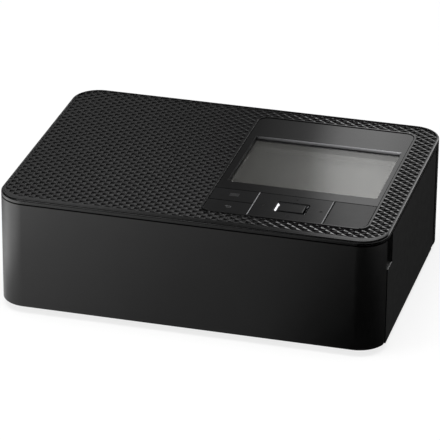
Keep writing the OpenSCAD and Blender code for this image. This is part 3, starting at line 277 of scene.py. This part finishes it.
# Lines drawn out along X, and along Z
ALONG_X, ALONG_Z = (0.03, 1, 1), (1, 1, 0.05)
CASE_LOOK = (grey(0.0012), grey(0.0020), (0.28, 0.34))
SLOTS = {
    "case_black": plastic("case_black", *CASE_LOOK, spec=0.55),
    "cover_black": plastic(
        "cover_black", grey(0.0012), grey(0.0024), (0.11, 0.15), depth_mm=0.002,
        duller=0.08, where=(-0.02, 0.04),
    ),
    "panel_black": plastic("panel_black", grey(0.0014), grey(0.0022), (0.08, 0.11), depth_mm=0.001),
    "key_black": plastic(
        "key_black", grey(0.0055), grey(0.0070), (0.10, 0.14), depth_mm=0.001, spec=0.21
    ),
    "screen_glass": glass("screen_glass"),
    "display_grey": display("display_grey"),
    "bright_trim": metal(
        "bright_trim", grey(0.40), grey(0.46), (0.06, 0.12), ALONG_Z, 0.4, 0.0006
    ),
    "inner_black": plastic("inner_black", grey(0.012), grey(0.018), (0.45, 0.55), 0.5, 0.01),
    "bay_grey": plastic("bay_grey", grey(0.035), grey(0.045), (0.42, 0.52), 0.5, 0.01),
    "cassette_grey": plastic(
        "cassette_grey", (0.055, 0.058, 0.066), (0.07, 0.073, 0.082), (0.4, 0.5), 0.5, 0.01
    ),
    "gear_white": plastic(
        "gear_white", (0.58, 0.56, 0.49), (0.64, 0.62, 0.56), (0.35, 0.45), 0.8, 0.006
    ),
    "rubber": rubber("rubber", grey(0.016), grey(0.028)),
    "steel": metal("steel", grey(0.42), grey(0.52), (0.26, 0.4), ALONG_X),
    "aluminium": metal(
        "aluminium", (0.5, 0.51, 0.53), (0.6, 0.61, 0.63), (0.3, 0.42), ALONG_X, 0.4
    ),
    "ceramic": plastic(
        "ceramic", (0.55, 0.52, 0.45), (0.62, 0.6, 0.53), (0.12, 0.2), 0.6, 0.002
    ),
    "board_green": board("board_green"),
    "part_black": plastic("part_black", grey(0.016), grey(0.024), (0.35, 0.5), 0.3, 0.008),
    "ribbon": ribbon("ribbon"),
    "bush": plastic("bush", (0.45, 0.42, 0.35), (0.52, 0.49, 0.42), (0.4, 0.5), 0.7, 0.01),
}
for part in frame["record"]["subparts"]:
    slots = frame["nodes"][part["node"]].data.materials
    slots.clear()
    slots.append(SLOTS[part["material_slot"]])
# The side door is duller on its inner side and in the finger notch than on its outer face
DOOR_SKIN = (0.0905, 0.0909)
frame["nodes"]["side_door"].data.materials[0] = plastic(
    "door_black", *CASE_LOOK, spec=0.55, duller=0.36, where=DOOR_SKIN
)


# ---- Rounded edges on the moulded CAD parts ----

# Corners nearer than this become one; faces within this angle, in degrees, count as one flat face
WELD_MM, FLAT_ANGLE = 0.004, 0.3
EDGE_ANGLE, EDGE_STEPS = 40, 2


def soften(node, width_mm, angle=EDGE_ANGLE, merge=True):
    """Rounds a CAD node's edges with modifiers; its own mesh stays as it is.

    Only edges sharper than the angle, in degrees, are rounded. Flat faces are merged first.
    """
    obj = frame["nodes"][node]
    weld = obj.modifiers.new("weld", "WELD")
    weld.merge_threshold = WELD_MM * MM
    if merge:
        flat = obj.modifiers.new("flat", "DECIMATE")
        flat.decimate_type = "DISSOLVE"
        flat.angle_limit = math.radians(FLAT_ANGLE)
    bevel = obj.modifiers.new("bevel", "BEVEL")
    bevel.width = width_mm * MM
    bevel.segments = EDGE_STEPS
    bevel.limit_method = "ANGLE"
    bevel.angle_limit = math.radians(angle)
    bevel.use_clamp_overlap = True
    for face in obj.data.polygons:
        face.use_smooth = True
    shade = obj.modifiers.new("shade", "WEIGHTED_NORMAL")
    shade.weight = 100
    shade.keep_sharp = False


for name in (
    "menu_button", "back_button", "print_button", "ok_button", "direction_pad", "control_panel"
):
    soften(name, 0.3)
soften("front_door", 0.2)
soften("top_cover", 0.35, angle=60, merge=False)


# ---- Mesh helpers ----

def add_mesh(name, verts, faces, mat, body, slot):
    """A new piece from points in millimetres, riding on a body."""
    mesh = bpy.data.meshes.new(name)
    mesh.from_pydata([Vector(v) * MM for v in verts], [], faces)
    mesh.validate()
    obj = bpy.data.objects.new(name, mesh)
    bpy.context.scene.collection.objects.link(obj)
    mesh.materials.append(mat)
    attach(obj, body)
    return obj


def rounded_loop(w, d, r, corner=6, at=(0, 0)):
    """Points of a rounded rectangle, anticlockwise, the same number for every size."""
    points = []
    for k, (sx, sy) in enumerate(((1, 1), (-1, 1), (-1, -1), (1, -1))):
        mid_x, mid_y = at[0] + sx * (w / 2 - r), at[1] + sy * (d / 2 - r)
        for i in range(corner + 1):
            a = math.radians(90 * k + 90 * i / corner)
            points.append((mid_x + r * math.cos(a), mid_y + r * math.sin(a)))
    return points


def box_loop(box, r, grow):
    """Points of a box with rounded corners, grown on all sides."""
    w, d = box[2] - box[0] + 2 * grow, box[3] - box[1] + 2 * grow
    return rounded_loop(w, d, r + grow, 8, ((box[0] + box[2]) / 2, (box[1] + box[3]) / 2))


def edges(loop):
    """Pairs of neighbouring points of a closed loop."""
    return zip(loop, loop[1:] + loop[:1])


# ---- Lozenge pattern on the cover ----

PATTERN = (FIELD[0], -62.3, FIELD[2], FIELD[3])
# Half a lozenge's length and width, and its section: share of that half, height above the field
LOZENGE = (2.61, 2.107)
LOZENGE_SECTION = ((1.0, 0.0), (0.93, 0.015), (0.16, 0.32), (0.0, 0.37))
# How far the pattern runs in under the rim, and onto the panel's collar
RIM_LAP, COLLAR_LAP = 0.05, 0.15
# Corners of the pattern nearer than this become one
PATTERN_WELD_MM = 0.002


def clip(poly, a, b, keep_left):
    """The part of a polygon of 3D points to one side of the line a-b, seen from above."""
    def side(p):
        s = (b[0] - a[0]) * (p[1] - a[1]) - (b[1] - a[1]) * (p[0] - a[0])
        return s if keep_left else -s
    out = []
    for p, q in edges(poly):
        sp, sq = side(p), side(q)
        if sp >= 0:
            out.append(p)
        if (sp > 0 > sq) or (sp < 0 < sq):
            t = sp / (sp - sq)
            out.append(tuple(p[k] + t * (q[k] - p[k]) for k in range(3)))
    return out if len(out) > 2 else []


def inside_box(poly, box, margin):
    """Whether a polygon lies in a box made smaller by the margin."""
    return all(
        box[0] + margin <= p[0] <= box[2] - margin and box[1] + margin <= p[1] <= box[3] - margin
        for p in poly
    )


def outside_box(poly, box, margin):
    """Whether a polygon is clear of a box made larger by the margin."""
    xs, ys = [p[0] for p in poly], [p[1] for p in poly]
    return (
        max(xs) < box[0] - margin or min(xs) > box[2] + margin
        or max(ys) < box[1] - margin or min(ys) > box[3] + margin
    )


def lozenge_pattern():
    """Rows of low pyramids over the recessed field, cut at the rim and at the panel's collar."""
    a, b = LOZENGE
    rings = [(share, FIELD_Z + height) for share, height in LOZENGE_SECTION]
    tips = [(1, 0), (0, 1), (-1, 0), (0, -1)]
    outer = box_loop(PATTERN, FIELD_R, RIM_LAP)
    hole = box_loop(PANEL, PANEL_R, PANEL_COLLAR - COLLAR_LAP)
    verts, faces = [], []

    def emit(poly):
        start = len(verts)
        verts.extend(poly)
        faces.append(tuple(range(start, start + len(poly))))

    def emit_clipped(poly):
        if not inside_box(poly, PATTERN, FIELD_R):
            for p, q in edges(outer):
                poly = clip(poly, p, q, True)
                if not poly:
                    return
        if outside_box(poly, PANEL, PANEL_COLLAR):
            emit(poly)
            return
        for p, q in edges(hole):
            beyond = clip(poly, p, q, False)
            if beyond:
                emit(beyond)
            poly = clip(poly, p, q, True)
            if not poly:
                return

    for i in range(math.floor(FIELD[0] / a), math.ceil(FIELD[2] / a) + 1):
        for j in range(math.floor(FIELD[1] / b), math.ceil(FIELD[3] / b) + 1):
            if (i + j) % 2:
                continue
            cx, cy = i * a, j * b
            for (x0, y0), (x1, y1) in edges(tips):
                for (s0, z0), (s1, z1) in zip(rings, rings[1:]):
                    quad = [
                        (cx + s0 * a * x0, cy + s0 * b * y0, z0),
                        (cx + s0 * a * x1, cy + s0 * b * y1, z0),
                        (cx + s1 * a * x1, cy + s1 * b * y1, z1),
                        (cx + s1 * a * x0, cy + s1 * b * y0, z1),
                    ]
                    emit_clipped(quad[:3] if s1 == 0 else quad)
    return verts, faces


pattern = add_mesh(
    "lozenge_pattern", *lozenge_pattern(), SLOTS["cover_black"], "case", "cover_black"
)
bm = bmesh.new()
bm.from_mesh(pattern.data)
bmesh.ops.remove_doubles(bm, verts=bm.verts, dist=PATTERN_WELD_MM * MM)
bmesh.ops.recalc_face_normals(bm, faces=bm.faces)
bm.to_mesh(pattern.data)
bm.free()


def front_band():
    """Smooth strip between the pattern and the cover's front rim, level with the rim.

    It reaches in under the rim and into the field.
    """
    under_rim, sunk = 0.3, 0.05
    rim, edge = box_loop(FIELD, FIELD_R, under_rim), box_loop(PATTERN, FIELD_R, 0)
    n = len(rim) // 2
    levels = (FIELD_Z - sunk, BODY_H)
    verts = [(x, y, z) for z in levels for loop in (rim[n:], edge[n:]) for x, y in loop]
    faces = [(0, n, 3 * n, 2 * n), (n - 1, 3 * n - 1, 4 * n - 1, 2 * n - 1)]
    for i in range(n - 1):
        j = i + 1
        faces += [
            (i, n + i, n + j, j), (2 * n + i, 2 * n + j, 3 * n + j, 3 * n + i),
            (i, j, 2 * n + j, 2 * n + i), (n + j, n + i, 3 * n + i, 3 * n + j),
        ]
    return add_mesh("front_band", verts, faces, SLOTS["cover_black"], "case", "cover_black")


front_band()


# ---- Bright frame around the centre key ----

# Its section from outside to inside: inset from the outline, z
FRAME_SECTION = ((0.0, POCKET_Z), (0.0, 57.0), (0.12, 57.2), (1.05, 56.5), (1.1, POCKET_Z))
# Corner radius lost per millimetre of inset, and the least radius
FRAME_TIGHTER, FRAME_LEAST_R = 0.3, 0.2


def bright_frame():
    """The rounded frame, closed all round, on the pad."""
    w, d, r = FRAME_OUT
    verts, faces = [], []
    for inset, z in FRAME_SECTION:
        corner_r = max(r - inset * FRAME_TIGHTER, FRAME_LEAST_R)
        loop = rounded_loop(w - 2 * inset, d - 2 * inset, corner_r, at=PAD_MID)
        verts.extend((x, y, z) for x, y in loop)
    rows = len(FRAME_SECTION)
    count = len(verts) // rows
    for row in range(rows):
        start, following = row * count, (row + 1) % rows * count
        for i in range(count):
            j = (i + 1) % count
            faces.append((start + i, start + j, following + j, following + i))
    return add_mesh(
        "bright_frame", verts, faces, SLOTS["bright_trim"], "direction_pad", "bright_trim"
    )


chrome = bright_frame()
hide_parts("ok_frame")


# ---- Rounded lip along the screen's rear edge, with painted highlight and painted shade ----

# X along the edge, and how far the lip reaches onto the panel there
LIP_REACH = ((7.02, 0.1), (14.0, 0.4), (30.0, 0.5), (77.25, 0.6))
# The lip's section without the reach (y, z): the first two points move back with it
LIP_SECTION = (
    (33.15, 57.29), (33.1, 57.38), (33.2, 57.36), (33.0, 57.05), (32.92, 56.32), (33.1, 56.32)
)


def lip_painted_highlight():
    """Grey edge: painted highlight, lighter to the right; painted shade on its lower, upright part.
    """
    n = Nodes("lip_painted_highlight")
    x, _, z = n.axes(n.place())
    along = n.between(x, 0, 1, (0.008, 0.075))
    height = n.between(z, 0, 1, (0.0568, 0.0571))
    lower, upper = (n.blend(along, grey(0.06), grey(end)) for end in (0.2, 0.36))
    return n.surface(
        Base_Color=n.blend(height, lower, upper),
        Roughness=n.between(n.noise(2.0), 0.4, 0.5),
        Specular_IOR_Level=0.3,
    )


def screen_lip():
    """A rounded strip along the opening's rear edge, narrower towards the left end."""
    verts, faces = [], []
    for x, reach in LIP_REACH:
        for k, (y, z) in enumerate(LIP_SECTION):
            verts.append((x, y + reach if k < 2 else y, z))
    count, last = len(LIP_SECTION), len(verts) - len(LIP_SECTION)
    for start in range(0, last, count):
        for i in range(count):
            j = (i + 1) % count
            faces.append((start + i, start + count + i, start + count + j, start + j))
    faces += [tuple(range(count)), tuple(reversed(range(last, last + count)))]
    return add_mesh("screen_lip", verts, faces, lip_painted_highlight(), "case", "panel_black")


screen_lip()


# ---- Painted shade: dark liner at the screen's left edge, dark seam at the panel's right edge ----

def ink(name, value):
    """Matt ink, slightly uneven; also used for painted shade and for painted highlight lines."""
    n = Nodes(name)
    return n.surface(
        Base_Color=n.blend(n.between(n.noise(0.5), 0, 1), grey(value), grey(value * 1.3)),
        Roughness=n.between(n.noise(1.0), 0.45, 0.6),
        Specular_IOR_Level=0.2,
    )


LIGHT_INK = ink("light_ink", 0.032)
# Dark ink for the pad's arrows, also used for the painted shade blocks below
DARK_INK_AND_SHADE = ink("dark_ink_and_shade", 0.005)
# Light grey for the highlights painted along the keys' edges
HIGHLIGHT_INK = ink("painted_highlight_ink", 0.15)


def shade_block(name, lo, hi):
    """A dark box of painted shade on the case, between two corners."""
    outline = ((lo[0], lo[1]), (hi[0], lo[1]), (hi[0], hi[1]), (lo[0], hi[1]))
    verts = [(x, y, z) for z in (lo[2], hi[2]) for x, y in outline]
    sides = [(i, (i + 1) % 4, 4 + (i + 1) % 4, 4 + i) for i in range(4)]
    faces = [(3, 2, 1, 0), (4, 5, 6, 7), *sides]
    return add_mesh(name, verts, faces, DARK_INK_AND_SHADE, "case", "panel_black")


# Painted shade: dark boxes along the screen's left edge and in the seam at the panel's right edge
shade_block("screen_side_shade", (6.5, -19.4, 55.45), (7.12, 33.7, 57.32))
shade_block("panel_seam_shade", (79.64, -47.2, 56.6), (80.22, 51.0, 57.59))


# ---- Symbols, and painted highlight lines along the keys' edges ----

# How far a symbol stands out of its key and reaches into it; a painted highlight stands out less,
# by LINE_DOWN
INK_UP, INK_DOWN = 0.02, 0.03
LINE_DOWN = 0.015
MENU_AT, BACK_AT = (13.8, -33.2), (14.2, -46.0)
# Half the length and width of a bar of the menu sign, and the bars' places
MENU_BAR, MENU_ROWS = (2.2, 0.22), (-1.1, 0, 1.1)
HOOKED_ARROW = (
    (-1.7, 0.4), (-0.5, -0.7), (-0.5, 0.05), (0.6, 0.05), (1.0, -0.15), (1.0, -0.6), (0.6, -0.8),
    (-0.6, -0.8), (-0.6, -1.3), (0.8, -1.3), (1.5, -0.95), (1.5, 0.3), (0.8, 0.7), (-0.5, 0.7),
    (-0.5, 1.5),
)
# A triangle that points along X
ARROW = ((0.95, 0), (-0.665, 0.95), (-0.665, -0.95))
PAD_ARROWS = (
    ("left", (28.9, -40.0), 180), ("right", (56.1, -40.0), 0),
    ("up", (42.7, -30.7), 90), ("down", (42.6, -49.1), 270),
)
# The X of the painted highlight lines, and the Y of both rows of keys
LEFT_LINE_X, RIGHT_LINE_X = (24.22, 24.62), (59.02, 59.42)
FRONT_KEY_Y, REAR_KEY_Y = (-52.05, -39.98), (-39.62, -27.6)


def symbol(name, outlines, z, body, mat=LIGHT_INK):
    """Flat outlines on a key whose face is at z: printed symbols and painted highlight lines."""
    verts, faces = [], []
    for outline in outlines:
        start, count = len(verts), len(outline)
        for height in (z - INK_DOWN, z + INK_UP):
            verts.extend((x, y, height) for x, y in outline)
        faces.append(tuple(start + i for i in reversed(range(count))))
        faces.append(tuple(start + count + i for i in range(count)))
        for i in range(count):
            j = (i + 1) % count
            faces.append((start + i, start + j, start + count + j, start + count + i))
    return add_mesh(name, verts, faces, mat, body, "key_black")


def moved(shape, at, turn=0):
    """An outline turned about its middle and moved to a place."""
    c, s = math.cos(math.radians(turn)), math.sin(math.radians(turn))
    return [(at[0] + x * c - y * s, at[1] + x * s + y * c) for x, y in shape]


def bar(x0, x1, y0, y1):
    """The outline of a bar."""
    return [(x0, y0), (x1, y0), (x1, y1), (x0, y1)]


half_l, half_w = MENU_BAR
menu_bars = [moved(bar(-half_l, half_l, y - half_w, y + half_w), MENU_AT) for y in MENU_ROWS]
symbol("menu_mark", menu_bars, FACE_Z, "menu_button")
symbol("back_mark", [moved(HOOKED_ARROW, BACK_AT)], FACE_Z, "back_button")
# Painted highlights: light lines along the keys' edges, where their rounded edges would catch the
# light
for tag, xs, ys, body in (
    ("menu_edge_highlight", LEFT_LINE_X, REAR_KEY_Y, "menu_button"),
    ("back_edge_highlight", LEFT_LINE_X, FRONT_KEY_Y, "back_button"),
    ("pad_edge_highlight", RIGHT_LINE_X, (FRONT_KEY_Y[0], REAR_KEY_Y[1]), "direction_pad"),
):
    symbol(tag, [bar(*xs, *ys)], FACE_Z - LINE_DOWN, body, HIGHLIGHT_INK)
for tag, at, turn in PAD_ARROWS:
    symbol("pad_mark_" + tag, [moved(ARROW, at, turn)], FACE_Z, "direction_pad", DARK_INK_AND_SHADE)


# ---- Stage: floor, walls and cards for the reflections, lamps ----

# Share of plain white in what the camera and mirror-like surfaces see of the floor
FLOOR_GLOW = 0.8
# A card's brightness is multiplied by the first number below these heights and by the second above
GAIN, GAIN_Z = (2.9, 2.0), (0.17, 0.3)
# A slant is full below these heights and gone above
SLANT_Z = (0.15, 0.33)
BRIGHT_CARD_GLOW = 2.5
# A dark card is black in front and glows faintly behind: brightness, and the Y where it changes
DARK_CARD_GLOW, DARK_CARD_Y = (0.0, 0.045), (-0.09, -0.04)


def plane(name, corners, mat):
    """A plane of the stage."""
    mesh = bpy.data.meshes.new(name)
    mesh.from_pydata([Vector(c) for c in corners], [], [(0, 1, 2, 3)])
    obj = bpy.data.objects.new(name, mesh)
    bpy.context.scene.collection.objects.link(obj)
    mesh.materials.append(mat)
    return obj


def mirror_card(name, corners, mat):
    """A plane that only mirror-like surfaces see."""
    obj = plane(name, corners, mat)
    for ray in ("camera", "diffuse", "transmission", "shadow", "volume_scatter"):
        setattr(obj, "visible_" + ray, False)


def lying(x0, x1, y0, y1, z):
    """Corners of a level card."""
    return [(x0, y0, z), (x1, y0, z), (x1, y1, z), (x0, y1, z)]


def upright(x0, x1, y, z0, z1):
    """Corners of a card that stands across Y."""
    return [(x0, y, z0), (x1, y, z0), (x1, y, z1), (x0, y, z1)]


def lamp(name, at, aim, size, power):
    """A soft box that mirror-like surfaces don't see."""
    data = bpy.data.lights.new(name, "AREA")
    data.shape = "RECTANGLE"
    data.size, data.size_y = size
    data.energy = power
    obj = bpy.data.objects.new(name, data)
    bpy.context.scene.collection.objects.link(obj)
    obj.location = at
    obj.rotation_euler = (Vector(aim) - Vector(at)).to_track_quat("-Z", "Y").to_euler()
    obj.visible_camera = False
    obj.visible_glossy = False


def floor_material():
    """Pale floor that takes shadows; the camera and mirror-like surfaces see it nearly white."""
    n = Nodes("floor_pale")
    rays = n.add("ShaderNodeLightPath").outputs
    seen = n.calc("MAXIMUM", rays["Is Camera Ray"], rays["Is Glossy Ray"])
    seen = n.calc("MAXIMUM", seen, rays["Is Transmission Ray"])
    pale = n.blend(n.between(n.noise(300.0), 0, 1), (0.86, 0.86, 0.86), (0.9, 0.9, 0.9))
    diffuse = n.add("ShaderNodeBsdfDiffuse", {"Color": pale})
    white = n.add("ShaderNodeEmission", {"Strength": 1.0})
    return n.mixed(n.calc("MULTIPLY", seen, FLOOR_GLOW), diffuse, white)


def stops_along(n, axes, along, stops, slant=0.0):
    """A colour that follows one axis through stops (metres, value).

    The slant shifts the stops by that much at the foot of a wall.
    """
    lo, hi = stops[0][0], stops[-1][0]
    shifted = n.calc("ADD", axes[along], n.between(axes[2], slant, 0, SLANT_Z))
    ramp = n.add("ShaderNodeValToRGB", {0: n.between(shifted, 0, 1, (lo, hi))})
    elements = ramp.color_ramp.elements
    for x, _ in stops[1:-1]:
        elements.new((x - lo) / (hi - lo))
    for element, (_, value) in zip(elements, stops):
        element.color = (value, value, value, 1)
    return ramp.outputs[0]


def glow_material(name, along, stops, slant=0.0):
    """A card whose brightness follows one axis."""
    n = Nodes(name)
    axes = n.axes(n.add("ShaderNodeNewGeometry").outputs["Position"])
    colour = stops_along(n, axes, along, stops, slant)
    gain = n.between(axes[2], *GAIN, GAIN_Z)
    return n.show(n.add("ShaderNodeEmission", {"Color": colour, "Strength": gain}))


def cover_material(name, along, stops, bright=False):
    """A dark or bright card laid on the floor, which is clear (0) to solid (1) along one axis."""
    n = Nodes(name)
    axes = n.axes(n.add("ShaderNodeNewGeometry").outputs["Position"])
    solid = stops_along(n, axes, along, stops)
    clear = n.add("ShaderNodeBsdfTransparent")
    strength = BRIGHT_CARD_GLOW if bright else n.between(axes[1], *DARK_CARD_GLOW, DARK_CARD_Y)
    return n.mixed(solid, clear, n.add("ShaderNodeEmission", {"Strength": strength}))


FLOOR_HALF, FLOOR_Z = 15, -0.0002
plane("floor", lying(-FLOOR_HALF, FLOOR_HALF, -FLOOR_HALF, FLOOR_HALF, FLOOR_Z), floor_material())

# Three walls one above the other behind the printer: the cover, the panel, the screen and the rear
# facets of the lozenges reflect them to the photograph's camera
WALL_HALF, WALL_Y = 0.7, 0.62
WALL_JOINTS = (0.0, 0.11, 0.22, 0.47)
LOW_STOPS = [(-0.45, 0.045), (-0.2, 0.045), (-0.13, 0.002), (0.5, 0.002)]
MID_STOPS = [
    (-0.45, 0.06), (-0.085, 0.06), (-0.063, 0.1), (-0.041, 0.54), (-0.016, 0.62), (0.014, 0.46),
    (0.104, 0.36), (0.144, 0.2), (0.184, 0.2), (0.214, 1.2), (0.45, 1.2),
]
HIGH_STOPS = [
    (-0.45, 0.24), (-0.265, 0.24), (-0.225, 0.13), (-0.19, 0.07), (-0.165, 0.045),
    (-0.146, 0.055), (-0.107, 0.14), (-0.085, 0.54), (-0.06, 0.62), (-0.03, 0.46), (0.06, 0.36),
    (0.1, 0.2), (0.14, 0.2), (0.165, 1.2), (0.235, 1.2), (0.25, 0.3), (0.45, 0.3),
]
wall = plane(
    "reflector_wall", upright(-WALL_HALF, WALL_HALF, WALL_Y, *WALL_JOINTS[2:]),
    glow_material("wall_glow", 0, HIGH_STOPS, slant=-0.045),
)
wall.visible_camera = False
mirror_card(
    "low_wall", upright(-WALL_HALF, WALL_HALF, WALL_Y, *WALL_JOINTS[:2]),
    glow_material("low_glow", 0, LOW_STOPS),
)
mirror_card(
    "mid_wall", upright(-WALL_HALF, WALL_HALF, WALL_Y, *WALL_JOINTS[1:3]),
    glow_material("mid_glow", 0, MID_STOPS),
)

# Cards on the floor, for the front and side walls
mirror_card(
    "dark_card", lying(-0.2, 0.6, -0.5, 0.6, 0.0006),
    cover_material("card_cover", 0, [
        (-0.12, 0.0), (-0.02, 0.58), (0.03, 0.7), (0.05, 0.86), (0.075, 1.0), (0.215, 1.0),
        (0.3, 0.0),
    ]),
)
mirror_card(
    "bright_card", lying(-0.6, -0.1, -0.5, 0.6, 0.0009),
    cover_material("card_glow", 0, [(-0.15, 1.0), (-0.11, 0.0)], bright=True),
)

# Above the left front, for the cover's rim
mirror_card(
    "rim_card", lying(-0.9, -0.25, -1.0, -0.4, 1.2),
    glow_material("rim_glow", 0, [(-0.42, 1.6), (-0.25, 0.1)]),
)
# On the wall, for the left end of the bright frame
mirror_card(
    "spot_card", upright(0.265, 0.34, 0.615, 0.28, 0.35),
    glow_material("spot_glow", 0, [(0.265, 1.3), (0.34, 1.3)]),
)
# High at the left rear, for the left front facets of the lozenges
mirror_card(
    "corner_card",
    [(-1.30, 1.11, 1.57), (-1.09, 0.83, 1.11), (-0.70, 1.21, 1.11), (-0.91, 1.49, 1.57)],
    glow_material("corner_glow", 2, [(1.11, 1.1), (1.57, 1.1)]),
)
# On the floor at the left, so that the left wall stands out from the white
mirror_card(
    "left_card", lying(-0.45, -0.09, -0.055, 0.6, 0.0012),
    cover_material("left_cover", 1, [
        (-0.055, 0.0), (-0.035, 0.45), (-0.005, 0.7), (0.02, 0.9), (0.6, 0.9),
    ]),
)
# In front of the printer, for the views from behind
mirror_card(
    "back_card", upright(-1.6, 1.6, -1.7, 0.3, 1.1),
    glow_material("back_glow", 0, [(-1.4, 0.05), (0.1, 0.16), (0.9, 0.05), (1.4, 0.02)]),
)

lamp("top_box", (0.0, -0.25, 1.5), (0, 0, 0), (1.6, 1.2), 34)
lamp("left_box", (-1.3, -0.9, 0.7), (0, 0, 0.03), (0.8, 0.8), 8)

# A faint even light from all sides
world = bpy.data.worlds.new("studio")
bpy.context.scene.world = world
world.use_nodes = True
background = world.node_tree.nodes["Background"].inputs
background["Color"].default_value = (1, 1, 1, 1)
background["Strength"].default_value = 0.045


# ---- Camera at the photograph's view ----

AZIMUTH, ELEVATION, ROLL = map(math.radians, (14.992, 25.474, 0.503))
DISTANCE, SHIFT_RIGHT, SHIFT_UP, AIM_Z = 1.497287, -0.001832, -0.004293, 0.032243
FOCAL_PX, FRAME_PX, SENSOR = 3182.059, 440, 36.0

back = Vector((
    math.sin(AZIMUTH) * math.cos(ELEVATION),
    -math.cos(AZIMUTH) * math.cos(ELEVATION),
    math.sin(ELEVATION),
))
right = Vector((math.cos(AZIMUTH), math.sin(AZIMUTH), 0))
up = back.cross(right)
right, up = (
    math.cos(ROLL) * right + math.sin(ROLL) * up,
    -math.sin(ROLL) * right + math.cos(ROLL) * up,
)
camera = bpy.data.objects.new("camera", bpy.data.cameras.new("camera"))
bpy.context.scene.collection.objects.link(camera)
camera.data.sensor_width = SENSOR
camera.data.lens = SENSOR * FOCAL_PX / FRAME_PX
camera.data.clip_start, camera.data.clip_end = 0.1, 50
place = Vector((0, 0, AIM_Z)) + DISTANCE * back + SHIFT_RIGHT * right + SHIFT_UP * up
camera.matrix_world = Matrix.Translation(place) @ Matrix((right, up, back)).transposed().to_4x4()
bpy.context.scene.camera = camera
bpy.context.scene.view_settings.view_transform = "Standard"
